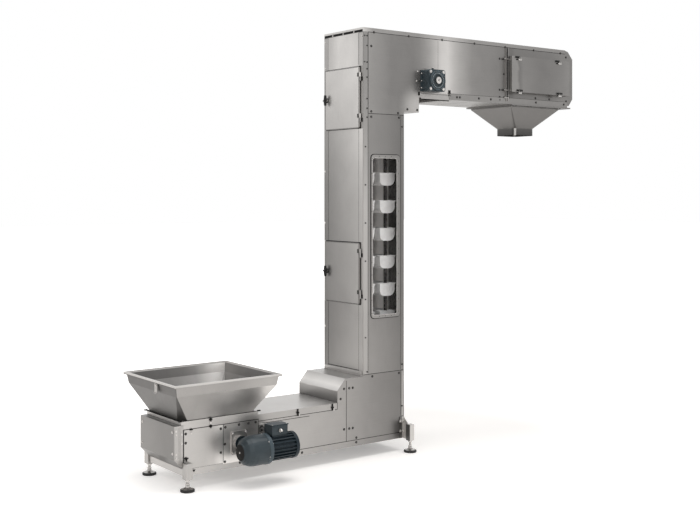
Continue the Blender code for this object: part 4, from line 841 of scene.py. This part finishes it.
add_bars(seams, AT_LEFT, 0.005, 0.0006, 0, ((-0.25, 0.722), (0.25, 0.722)))
add_bars(seams, AT_LEFT, 0.002, 0.0010, 0, ((-0.216, 3.29), (-0.216, 3.556)), proud=0.0006)
for y in (-0.216, 0.216):
    add_bars(seams, AT_LEFT, 0.002, 0.0005, 0, ((y, 0.70), (y, 1.27)), ((y, 1.80), (y, 2.75)))
for x in (1.022, 1.27, 1.52):
    add_bar(seams, (x, -0.24, 3.04), (x, 0.24, 3.04), DOWN, 0.002, 0.0004)

# %% Gasket and clips round the hopper's foot, and the strap below the gearbox
FOOT_FROM, FOOT_TO, FOOT_HALF, FOOT_Z = -1.708, -1.040, 0.272, 0.5132
for y in (-FOOT_HALF - 0.002, FOOT_HALF + 0.002):
    add_bar(seams, (FOOT_FROM, y, FOOT_Z), (FOOT_TO, y, FOOT_Z), UP, 0.005, 0.003)
# Painted shadow: the wider black strip on the left stands in for the shade in the gap between the hopper's flange and
# the tail cover.
add_bar(seams, (FOOT_FROM - 0.006, -FOOT_HALF, FOOT_Z), (FOOT_FROM - 0.006, FOOT_HALF, FOOT_Z), UP, 0.012, 0.004)
for x in (FOOT_FROM - 0.010, FOOT_TO + 0.010):
    for y in (-FOOT_HALF - 0.006, FOOT_HALF + 0.006):
        add_bar(seams, (x - 0.014, y, FOOT_Z), (x + 0.014, y, FOOT_Z), UP, 0.014, 0.009, 0.002)
add_bars(seams, BOTH, 0.008, 0.0030, 0, ((0.640, 3.0300), (0.966, 3.0300)))
add_bars(seams, BOTH, 0.003, 0.0026, 0, ((0.640, 3.0795), (0.966, 3.0795)))
add_bars(seams, BOTH, 0.018, 0.006, 0.002, ((0.616, 3.060), (0.616, 3.090)))
add_bars(seams, BOTH, 0.018, 0.007, 0.002, ((0.962, 3.078), (0.984, 3.078)), ((0.962, 3.116), (0.984, 3.116)))
add_bars(seams, BOTH, 0.007, 0.009, 0.002, ((0.973, 3.070), (0.973, 3.124)))
piece("seam_set", seams, SEAL_BLACK)

# %% Lapped strips
corner_strips = bmesh.new()
add_bars(corner_strips, BOTH, 0.048, 0.0015, 0.0006, ((0.0255, 0.70), (0.0255, 3.560)))
piece("corner_strips", corner_strips, CORNER_SHEET)
front_strips = bmesh.new()
add_bars(front_strips, BOTH, 0.0100, 0.0015, 0.0006, ((0.4210, 0.70), (0.4210, 2.876)))
add_bars(front_strips, BOTH, 0.0180, 0.0015, 0.0006, ((0.4260, 0.30), (0.4260, 0.684)))
piece("front_strips", front_strips, STRIP_SHEET)
for name, finish, heights in (("edge_strips", EDGE_SHEET, ((3.277, 3.556),)),
                              ("left_strips", LEFT_SHEET, ((0.70, 1.272), (1.797, 2.752)))):
    strips = bmesh.new()
    for y in (-0.2465, 0.2465):
        add_bars(strips, AT_LEFT, 0.055, 0.0012, 0.0005, *[((y, low), (y, high)) for low, high in heights])
    piece(name, strips, finish)
tail_strips = bmesh.new()
add_bars(tail_strips, AT_FRONT, 0.030, 0.0022, 0.0008, ((-1.747, 0.240), (-1.747, 0.478)))
add_bars(tail_strips, AT_FRONT, 0.022, 0.0022, 0.0008, ((-1.7045, 0.180), (-1.7045, 0.478)))
add_bars(tail_strips, AT_LEFT, 0.026, 0.010, 0.003, ((-0.262, 0.702), (0.262, 0.702)))
add_bars(tail_strips, BOTH, 0.057, 0.0020, 0.0006, ((0.640, 3.0625), (0.966, 3.0625)))
piece("tail_strips", tail_strips, FRAME_SHEET)

# %% [markdown]
# ## Section joint and latches
# The head is a section of its own, bolted on through a pair of turned-up flanges, so the joint is
# a dark band with clamps across it. Covers are held by latches: a black lever on one side of the
# edge and a bright hook that reaches over it.

# %% The joint's flanges, clamps and gasket
joint = bmesh.new()
add_bars(joint, BOTH, 0.0025, 0.012, 0.0006, *[((x, 3.065), (x, 3.560)) for x in (1.6765, 1.7005)])
add_bars(joint, BOTH, 0.008, 0.0145, 0.001, *[((1.6500, z), (1.7090, z)) for z in (3.455, 3.167, 3.096)])
piece("section_joint", joint, FRAME_SHEET)
gasket = bmesh.new()
add_bars(gasket, BOTH, 0.021, 0.003, 0, ((1.6885, 3.065), (1.6885, 3.560)))
piece("joint_gasket", gasket, SEAL_BLACK)

# %% Level clips, upright latches and toggle latches
COVER_FACE = 0.0603
levers = bmesh.new()
hooks = bmesh.new()


def add_clip(x, z, lever_rise, shift, reach):
    """Level clip over the cover's edge."""
    lever, hook = z + lever_rise, z - 0.013
    add_bars(levers, AT_FRONT, 0.018, 0.010, 0.002, ((x + shift - reach, lever), (x + shift + reach, lever)),
             proud=COVER_FACE)
    add_bars(levers, AT_FRONT, 0.012, 0.006, 0.002, ((x - 0.032, hook), (x - 0.006, hook)), proud=COVER_FACE)
    add_bars(hooks, AT_FRONT, 0.016, 0.007, 0.002, ((x - 0.006, hook), (x + 0.036, hook)), proud=COVER_FACE)
    for side in (0.0, 0.022):
        add_rod(hooks, front(x + side, lever, COVER_FACE + 0.009), front(x + side, hook, COVER_FACE + 0.009), 0.0018, 8)


def add_toggle(x, z, size):
    """Toggle latch whose wire hook reaches down from its lever to its catch."""
    spot = Vector(front(x, z, PANEL_FACE))
    tip = spot + DOWN * 0.044 * size
    catch = tip + DOWN * 0.006
    wire = tip + FRONT * 0.007 * size
    base, claw, bend = (RIGHT * reach * size for reach in (0.026, 0.014, 0.0106))
    add_bar(levers, spot - base, spot + base, FRONT, 0.018 * size, 0.006 * size, 0.0015 * size)
    add_bar(levers, spot - DOWN * 0.016 * size, spot + DOWN * 0.010 * size, FRONT, 0.022 * size, 0.012 * size,
            0.002 * size)
    for side in (-1, 1):
        edge = RIGHT * side * 0.009 * size
        add_rod(hooks, spot + edge + FRONT * 0.011 * size, wire + edge, 0.0016 * size, 8)
    add_rod(hooks, wire - bend, wire + bend, 0.0016 * size, 8)
    add_bar(hooks, catch - claw, catch + claw, FRONT, 0.016 * size, 0.005 * size, 0.001)


for x in (1.790, 2.335):
    add_clip(x, 3.466, 0.008, -0.018, 0.026)
    add_clip(x, 3.156, 0.009, 0.010, 0.036)
for x in (-0.663, -0.319):
    add_bars(levers, BOTH, 0.009, 0.010, 0.002, ((x, 0.431), (x, 0.487)))
    add_bars(levers, BOTH, 0.014, 0.012, 0.002, ((x - 0.010, 0.457), (x + 0.010, 0.457)))
    add_bars(hooks, BOTH, 0.010, 0.007, 0.002, ((x + 0.013, 0.427), (x + 0.013, 0.447)))
LOCK_X = -1.459
for z in (0.503, 0.452):
    add_bars(levers, AT_FRONT, 0.015, 0.008, 0.002, ((LOCK_X - 0.013, z), (LOCK_X + 0.013, z)))
    add_bars(levers, AT_FRONT, 0.008, 0.011, 0.002, ((LOCK_X, z - 0.016), (LOCK_X, z + 0.012)))
add_bars(hooks, AT_FRONT, 0.012, 0.006, 0.002, ((LOCK_X, 0.466), (LOCK_X, 0.489)))
for x, z in ((-1.626, 0.448), (0.973, 3.100)):
    add_toggle(x, z, 0.55)
piece("latch_levers", levers, LATCH_BLACK)
piece("latch_hooks", hooks, BOLT_STEEL)

# %% [markdown]
# ## Doors
# A door is a shallow folded tray on two hinges, with a dark rubber seal behind it and a turning
# latch near its free edge. The seal and one leaf of each hinge stay on the casing. The rosette,
# the other leaves and a fine line of painted shade round the tray's folded edge belong to the door,
# and the tongue turns with the handle.

# %% Seal, hinge leaves, rosette and tongue for each door
DOOR_HALF, DOOR_HEIGHT, DOOR_FACE = 0.2405, 0.515, 0.017
DOOR_RIM, DOOR_EDGE = 0.0045, 0.004
PIVOT_Y = 0.208
seals = bmesh.new()
fixed_leaves = bmesh.new()

for name, door_z in (("lower", 1.277), ("upper", 2.757)):
    door_top = door_z + DOOR_HEIGHT
    for y in (-DOOR_HALF + 0.002, DOOR_HALF):
        add_bars(seals, AT_LEFT, 2 * DOOR_RIM, 0.0044, 0, ((y, door_z - DOOR_RIM), (y, door_top + DOOR_RIM)))
    for z in (door_z, door_top + 0.002):
        add_bars(seals, AT_LEFT, 2 * DOOR_RIM, 0.0044, 0, ((-DOOR_HALF - DOOR_RIM, z), (DOOR_HALF + DOOR_RIM, z)))
    # Painted shade: a fine grey line round the tray stands in for the shade along its folded edge.
    fold_shade_lines = bmesh.new()
    side, low, high = DOOR_HALF - DOOR_EDGE, door_z + DOOR_EDGE, door_top - DOOR_EDGE
    add_bars(fold_shade_lines, AT_LEFT, 0.0035, 0.0005, 0, ((-side, low), (-side, high)), ((side, low), (side, high)),
             ((-side, low), (side, low)), ((-side, high), (side, high)), proud=DOOR_FACE)
    piece(f"{name}_door_edge_lines", fold_shade_lines, FOLD_SHADE_GREY, body=f"{name}_door")
    fittings = bmesh.new()
    for z in (door_z + 0.085, door_top - 0.085):
        y = -DOOR_HALF + 0.012
        add_bars(fittings, AT_LEFT, 0.020, 0.0018, 0.0006, ((y, z + 0.0005), (y, z + 0.034)), proud=DOOR_FACE)
        add_bars(fixed_leaves, AT_LEFT, 0.016, 0.0018, 0.0006, ((-0.264, z - 0.034), (-0.264, z - 0.0005)),
                 proud=0.0012)
        for step in (0.010, 0.025):
            add_bolt(fittings, left(y + 0.001, z + step, DOOR_FACE + 0.0018), LEFT, 0.0028)
            add_bolt(fixed_leaves, left(-0.265, z - step, 0.003), LEFT, 0.0028)
    middle = door_z + DOOR_HEIGHT / 2
    add_turned(fittings, left(PIVOT_Y, middle, DOOR_FACE), LEFT, 24, (0.0135, 0.0), (0.021, 0.0), (0.021, 0.002),
               (0.019, 0.004), (0.0135, 0.004))
    piece(f"{name}_door_fittings", fittings, WASHER_SHADE_AND_DARK_STEEL, body=f"{name}_door")
    tongue = bmesh.new()
    add_bars(tongue, AT_LEFT, 0.012, 0.0045, 0.001, ((PIVOT_Y, middle), (PIVOT_Y + 0.046, middle)), proud=0.0285)
    add_turned(tongue, left(PIVOT_Y, middle, 0.0476), LEFT, 20, (0.0, 0.003), (0.007, 0.0028), (0.0105, 0.001),
               (0.0105, 0.0))
    piece(f"{name}_door_tongue", tongue, LATCH_BLACK, body=f"{name}_handle")
piece("door_seals", seals, SEAL_BLACK)
piece("hinge_leaves", fixed_leaves, WASHER_SHADE_AND_DARK_STEEL)

# %% [markdown]
# ## Window
# The window ring is clamped by small screws, close together, with a black gasket line round its
# outside and a bright edge round the clear sheet. Both lines follow a rectangle with round corners,
# so one function walks along such a rectangle and lays a bar on each step. Behind the chain the
# inner side of the column's right wall gets a liner with the finish made for it above, and dark
# guides run behind the two strands of the chain.

# %% A line along a rectangle with round corners
CORNER_STEPS = 5


def add_round_line(bm, low, high, corner, width, depth, proud=0.0, ease=0.0):
    places = []
    for x, z, start in ((high[0] - corner, high[1] - corner, 0), (low[0] + corner, high[1] - corner, 90),
                        (low[0] + corner, low[1] + corner, 180), (high[0] - corner, low[1] + corner, 270)):
        for step in range(CORNER_STEPS + 1):
            angle = math.radians(start + 90 * step / CORNER_STEPS)
            places.append((x + corner * math.cos(angle), z + corner * math.sin(angle)))
    add_bars(bm, AT_FRONT, width, depth, ease, *zip(places, places[1:] + places[:1]), proud=proud)


# %% Ring lines, screws, the liner and the guides behind the chain
INSIDE_LOW, INSIDE_HIGH = 1.02, 2.72
ring_gasket = bmesh.new()
add_round_line(ring_gasket, (0.0815, 1.1535), (0.3995, 2.5375), 0.032, 0.0065, 0.0015)
piece("window_gasket", ring_gasket, SEAL_BLACK)
ring_edge = bmesh.new()
add_round_line(ring_edge, (0.0975, 1.1815), (0.3615, 2.5065), 0.016, 0.004, 0.0045, proud=PANEL_FACE, ease=0.001)
piece("window_edge", ring_edge, BOLT_STEEL)
screws = bmesh.new()
screw_places = [(x, 1.200 + 0.1070 * row) for x in (0.0905, 0.3810) for row in range(13)]
screw_places += [(x, z) for z in (1.1685, 2.5210) for x in (0.17, 0.235, 0.30)]
for x, z in screw_places:
    add_bolt(screws, front(x, z, PANEL_FACE), FRONT, 0.0036)
piece("window_screws", screws, WASHER_SHADE_AND_DARK_STEEL)
liner = bmesh.new()
add_bar(liner, (0.4405, 0.0, INSIDE_LOW), (0.4405, 0.0, INSIDE_HIGH), LEFT, 0.530, 0.0015)
piece("column_liner", liner, INNER_SHEET)
guides = bmesh.new()
for y in (-0.168, 0.168):
    add_bar(guides, (DOWN_X, y, INSIDE_LOW), (DOWN_X, y, INSIDE_HIGH), FRONT, 0.034, 0.0015)
piece("chain_guides", guides, SEAL_BLACK)

# %% [markdown]
# ## Drives
# The upper gearbox is square with a round cover: bright corner bolts, a ring of small marks round
# the seal, and a breather. The lower drive hangs on a square bearing flange. Its reducer widens
# like a bell from a flat end cap to the motor flange, and the motor has cooling fins, a fan cover
# and a terminal box with a lid and a cable gland.

# %% Upper gearbox details
GEAR_X, GEAR_Z = 0.739, 3.19
BODY_FACE, COVER_RING_FACE, SEAL_FACE = 0.1003, 0.1123, 0.1243
gear_steel = bmesh.new()
cover_bolts = bmesh.new()
gear_rings = bmesh.new()
for side in (-1, 1):
    for rise in (-0.074, 0.074):
        add_bolt(gear_steel, front(GEAR_X + side * 0.074, GEAR_Z + rise, BODY_FACE), FRONT, 0.0085)
    for rise in (-0.062, 0.0, 0.062):
        add_bolt(gear_steel, front(GEAR_X + side * 0.101, GEAR_Z + rise, 0.0123), FRONT, 0.0050)
for x, z in on_circle(24, 0.063):
    mark = facing(front(GEAR_X + x, GEAR_Z + z, COVER_RING_FACE + 0.0008), FRONT)
    add_box(gear_steel, mark, (0.0045, 0.0045, 0.0016), 0.0005)
for x, z in on_circle(8, 0.079, 0.5):
    add_bolt(cover_bolts, front(GEAR_X + x, GEAR_Z + z, COVER_RING_FACE), FRONT, 0.004)
add_turned(gear_steel, (GEAR_X - 0.009, -HALF - 0.05, GEAR_Z + 0.111), UP, 16, (0.0, 0.005), (0.007, 0.005),
           (0.012, 0.003), (0.012, 0.0))
add_turned(gear_steel, front(GEAR_X, GEAR_Z, SEAL_FACE), FRONT, 24, (0.0, 0.0), (0.008, 0.0), (0.010, 0.003),
           (0.019, 0.003), (0.022, 0.0015), (0.022, 0.0))
for x, z in ((0.603, 3.268), (0.590, 3.186)):
    add_bolt(gear_steel, front(x, z), FRONT, 0.005)
add_rod(gear_steel, front(0.590, 3.186, 0.006), front(0.628, 3.186, 0.006), 0.003, 8)
for near, far, height in ((0.060, 0.067, 0.0014), (0.078, 0.084, 0.0010)):
    add_turned(gear_rings, front(GEAR_X, GEAR_Z, COVER_RING_FACE), FRONT, 32, (near, 0.0), (near, height),
               (far, height), (far, 0.0))
piece("upper_drive_rings", gear_rings, EDGE_PAINT)
piece("upper_drive_bolts", gear_steel, BRIGHT_STEEL)
piece("upper_drive_cover_bolts", cover_bolts, DARK_STEEL)

# %% Lower drive details
MOTOR_Y, MOTOR_Z = -0.476, 0.268
BOX_TOP = 0.44
LID_FROM, LID_TO = -1.0725, -0.9275
drive_steel = bmesh.new()
drive_paint = bmesh.new()
end_cap = bmesh.new()
flange_rim = bmesh.new()


def on_motor(x, beside=0.0, above=0.0):
    return (x, MOTOR_Y + beside, MOTOR_Z + above)


for side in (-0.057, 0.057):
    for rise in (-0.074, 0.074):
        add_bolt(drive_steel, front(SHAFT_X + side, SHAFT_Z + rise, 0.0117), FRONT, 0.0075)
for x, normal, radius, turn, size in ((-1.09, RIGHT, 0.106, 0.5, 0.006), (-1.1205, LEFT, 0.106, 0.5, 0.006),
                                      (-1.1218, LEFT, 0.1095, 0.35, 0.0055)):
    for offset in on_circle(6, radius, turn):
        add_bolt(drive_steel, on_motor(x, *offset), normal, size)
add_turned(end_cap, on_motor(-1.3203), LEFT, 32, (0.0, 0.0035), (0.056, 0.0035), (0.060, 0.002), (0.060, 0.0))
add_turned(flange_rim, on_motor(-1.1206), RIGHT, 40, (0.104, -0.0002), (0.108, -0.0012), (0.1150, -0.0012),
           (0.1166, -0.0002))
add_turned(flange_rim, on_motor(-1.1206), RIGHT, 40, (0.1166, 0.0308), (0.1150, 0.0318), (0.104, 0.0318),
           (0.102, 0.0308))
add_turned(drive_steel, on_motor(-1.3240), LEFT, 12, (0.0, 0.003), (0.005, 0.003), (0.007, 0.001), (0.007, 0.0))
add_turned(drive_paint, on_motor(-0.8497), RIGHT, 32, (0.0, 0.004), (0.085, 0.004), (0.092, 0.002), (0.092, 0.0))
for ring in range(5):
    radius = 0.018 + 0.013 * ring
    add_turned(drive_steel, on_motor(-0.8458), RIGHT, 28, (radius, 0.0), (radius + 0.002, 0.0022),
               (radius + 0.004, 0.0))
add_bar(drive_paint, (LID_FROM - 0.003, MOTOR_Y, BOX_TOP), (LID_TO + 0.008, MOTOR_Y, BOX_TOP), UP, 0.114, 0.008, 0.003)
for x in (LID_FROM + 0.008, LID_TO - 0.006):
    for y in (-0.046, 0.046):
        add_bolt(drive_steel, (x, MOTOR_Y + y, BOX_TOP + 0.008), UP, 0.0035)
add_turned(drive_steel, (-1.0, MOTOR_Y - 0.055, 0.405), FRONT, 16, (0.0, 0.026), (0.008, 0.026), (0.011, 0.022),
           (0.011, 0.008), (0.014, 0.008), (0.014, 0.0))
piece("reducer_end_cap", end_cap, LATCH_BLACK)
piece("drive_flange_rim", flange_rim, EDGE_PAINT)
piece("drive_bolts", drive_steel, BOLT_STEEL)
piece("drive_covers", drive_paint, DRIVE_PAINT)

# %% [markdown]
# ## Feet, knobs and small brackets
# Each foot screws into its leg with a lock nut. Star knobs hold the side panel, and a small
# bracket behind the motor has two holes for the wiring. On the outrigger a cap closes the tube.
# Bright bolts hold the tail, the outriggers and the left face.

# %% Lock nuts, caps, star knobs, the bracket and bright bolts
small = bmesh.new()
knobs = bmesh.new()
for x, y, z in ((-1.6735, -0.3089, 0.09), (-1.6735, 0.3073, 0.09), (0.442, -0.3625, 0.10), (0.442, 0.3625, 0.10)):
    add_rod(small, (x, y, z - 0.012), (x, y, z - 0.001), 0.019, 6)
    add_rod(small, (x, y, 0.050), (x, y, 0.058), 0.017, 6)
for y in (-0.3625, 0.3625):
    add_bar(small, (0.419, y, 0.235), (0.465, y, 0.235), UP, 0.046, 0.003, 0.001)
for x, z, size in ((-1.672, 0.236, 1.0), (-1.608, 0.142, 0.75)):
    spot = front(x, z, PANEL_FACE)
    add_turned(knobs, spot, FRONT, 16, (0.0, 0.020 * size), (0.005 * size, 0.020 * size),
               (0.007 * size, 0.016 * size), (0.007 * size, 0.0))
    hub = Vector(spot) + FRONT * 0.013 * size
    for beside, above in on_circle(3, 0.016 * size, 1.5 / math.tau):
        add_rod(knobs, hub, hub + Vector((beside, 0, above)), 0.0045 * size, 10, 0.0055 * size)
add_bars(small, AT_FRONT, 0.070, 0.004, 0.001, ((-1.030, 0.378), (-0.975, 0.378)))
for z in (0.362, 0.394):
    add_turned(knobs, front(-1.002, z, 0.004), FRONT, 16, (0.0, 0.0004), (0.008, 0.0004), (0.008, 0.0))
for x in (0.400, 0.430):
    for z in (0.252, 0.170):
        for place, normal in BOTH:
            add_bolt(small, place(x, z, 0.0063), normal, 0.0075)
for x, z in ((-1.751, 0.449), (-1.751, 0.423), (-1.751, 0.277), (-1.751, 0.250), (-1.704, 0.421), (-1.704, 0.353)):
    add_bolt(small, front(x, z, 0.0022), FRONT, 0.0045)
for y, z, proud, size in ((-0.11, 0.778, 1.8325, 0.006), (0.244, 0.439, 1.765, 0.006), (0.248, 0.280, 1.765, 0.006),
                          (-0.244, 0.439, 1.765, 0.006), (-0.248, 0.280, 1.765, 0.006), (0.262, 3.523, 0, 0.006),
                          (0.262, 3.297, 0, 0.006), (-0.262, 3.523, 0, 0.006), (0.262, 2.40, 0, 0.006),
                          (0.262, 1.95, 0, 0.006), (0.262, 1.05, 0, 0.006), (0.150, 3.572, 0, 0.005),
                          (0.0, 3.572, 0, 0.005), (-0.150, 3.572, 0, 0.005)):
    add_bolt(small, left(y, z, proud), LEFT, size)
piece("small_steel", small, BOLT_STEEL)
piece("star_knobs", knobs, LATCH_BLACK)

# %% [markdown]
# ## Bolts
# The sheets are held by small hexagon bolts on washers, both dark with painted shade. One function
# sets them on the casing, and lists give the places, in the machine's measures: an X and the heights
# of the bolts above each other there. The casing's bolts are one mesh and their washers another.

# %% Columns of bolts on the casing
bolts = bmesh.new()
washers = bmesh.new()


def casing_bolts(sides, *columns, proud=0.0):
    for x, *heights in columns:
        for z in heights:
            for place, normal in sides:
                add_bolt(bolts, place(x, z, proud), normal, washer=washers)


casing_bolts(
    BOTH, (0.117, 3.566), (0.50, 3.566), (0.887, 3.566), (1.28, 3.566), (1.673, 3.566), (2.054, 3.566), (2.426, 3.566),
    (0.015, 3.531, 3.311), (0.041, 3.531, 3.448, 3.309, 3.253, 3.183, 3.003, 2.922, 2.847, 0.712),
    (0.088, 3.448, 2.898, 2.853), (0.380, 2.896), (0.391, 2.857, 0.668), (0.485, 2.934), (0.596, 2.932),
    (1.656, 3.455, 3.316, 3.168, 3.098), (1.721, 3.455, 3.316, 3.168, 3.098), (2.506, 3.532), (2.270, 3.111),
    (2.078, 3.111), (2.510, 3.104), (0.099, 0.668), (0.423, 0.383), (-0.145, 0.595, 0.261), (-0.198, 0.595, 0.261),
    (-0.108, 0.595, 0.261), (-0.071, 0.176, 0.138), (-0.656, 0.176, 0.140), (-0.234, 0.516), (-0.620, 0.130),
    (-1.20, 0.138), (0.024, 2.60, 2.28, 1.96, 1.64, 1.32, 1.00), (0.424, 2.78, 0.74),
    (1.601, 3.453, 3.166, 3.098, 3.072), (1.634, 3.453, 3.166), (1.751, 3.322))
casing_bolts(
    AT_FRONT, (-1.332, 0.427), (-1.211, 0.432), (-1.125, 0.432), (-1.060, 0.432, 0.165), (-1.336, 0.299, 0.165),
    (-1.177, 0.165), (-1.672, 0.421, 0.353, 0.240), (-1.372, 0.421, 0.240), proud=PANEL_FACE)
casing_bolts(BOTH, (1.063, 3.068), (1.098, 3.068), (1.333, 3.071), (1.485, 3.071), (2.082, 3.071), (2.473, 3.071),
             proud=PANEL_FACE)
for x in (1.80, 2.00, 2.20, 2.40):
    for y in (-0.293, 0.293):
        add_bolt(bolts, (x, y, 3.0277), DOWN, 0.006, washers)
# Painted shade: dark bolts on dark washers.
piece("bolt_set", bolts, BOLT_PAINTED_SHADE)
piece("washer_set", washers, WASHER_SHADE_AND_DARK_STEEL)

# %% [markdown]
# ## Floor, light and camera
# The picture was taken from the left, a little above the middle of the column, with upright edges
# kept upright: the camera is level and its picture is shifted down. The background is white. To the
# camera, to mirrors and through clear sheets the world and the floor are white; the light that they
# send onto dull surfaces is lower, so that the soft lamps give the rest and the floor keeps a shadow.

# %% Camera
view = bpy.data.cameras.new("view")
view.lens = 55.99
view.sensor_width = 36
view.shift_y = -0.1002
view.clip_end = 200
camera = bpy.data.objects.new("view", view)
camera.location = (-5.9689, -7.375, 2.2167)
camera.rotation_euler = (math.radians(90), 0, math.radians(-37.2016))
scene.collection.objects.link(camera)
scene.camera = camera

# %% World, wired with the same class as the finishes
CAMERA_RAY, MIRROR_RAY, GLASS_RAY = 0, 3, 6
WHITE = (1, 1, 1)


class Studio(Finish):
    def __init__(self, name):
        self.world = bpy.data.worlds.new(name)
        self.world.use_nodes = True
        self.tree = self.world.node_tree
        self.tree.nodes.clear()
        self.shader = self.tree.nodes.new("ShaderNodeOutputWorld")


sky = Studio("studio")
seen = sky.ray(CAMERA_RAY).most(sky.ray(MIRROR_RAY)).most(sky.ray(GLASS_RAY))
dull = sky.node("ShaderNodeBackground", {}, {"Color": WHITE, "Strength": 0.50})
full = sky.node("ShaderNodeBackground", {}, {"Color": WHITE, "Strength": 1.0})
sky.feed(sky.shader.inputs["Surface"], sky.node("ShaderNodeMixShader", {}, {0: seen, 1: dull, 2: full}))
scene.world = sky.world


# %% Lamps
def softbox(name, place, target, size, power):
    lamp = bpy.data.lights.new(name, "AREA")
    lamp.shape = "RECTANGLE"
    lamp.size, lamp.size_y = size
    lamp.energy = power
    obj = bpy.data.objects.new(name, lamp)
    obj.location = place
    obj.rotation_euler = (Vector(target) - Vector(place)).to_track_quat("-Z", "Y").to_euler()
    scene.collection.objects.link(obj)


softbox("key_left", (-7.0, 1.6, 6.2), (-0.4, 0, 2.6), (2.6, 2.6), 70)
softbox("overhead", (0.0, -0.8, 7.4), (0, 0, 0), (6, 4), 300)
softbox("fill_front", (-3.0, -9.0, 4.5), (0, 0, 1.6), (4, 3), 100)

# %% Floor
FLOOR_HALF = 60
sheet = bmesh.new()
bmesh.ops.create_grid(sheet, x_segments=1, y_segments=1, size=FLOOR_HALF)
floor_mesh = bpy.data.meshes.new("floor")
sheet.to_mesh(floor_mesh)
sheet.free()
floor = bpy.data.objects.new("floor", floor_mesh)
scene.collection.objects.link(floor)
paper = Finish("studio_floor")
spread = paper.node("ShaderNodeVectorMath", {"operation": "LENGTH"}, {0: paper.place()}, out=1)
far = paper.node("ShaderNodeMapRange", {}, {"Value": spread, "From Min": 1.6, "From Max": 4.5, "To Min": 0.24,
                                            "To Max": 1.0})
glow = (paper.ray(CAMERA_RAY) * far).most(paper.ray(MIRROR_RAY) * 0.45).most(paper.ray(GLASS_RAY) * 0.45)
floor_mesh.materials.append(paper.set(
    Base_Color=paper.ramp(paper.noise(90.0, 2.0), (0.3, grey(243)), (0.7, grey(246))), Roughness=0.8,
    Emission_Color=paper.mix(glow, (0, 0, 0), WHITE), Emission_Strength=1.0))

# %% [markdown]
# ## Finish
# The colours are shown as they are, under the standard view transform.

# %% The standard view
scene.view_settings.view_transform = "Standard"
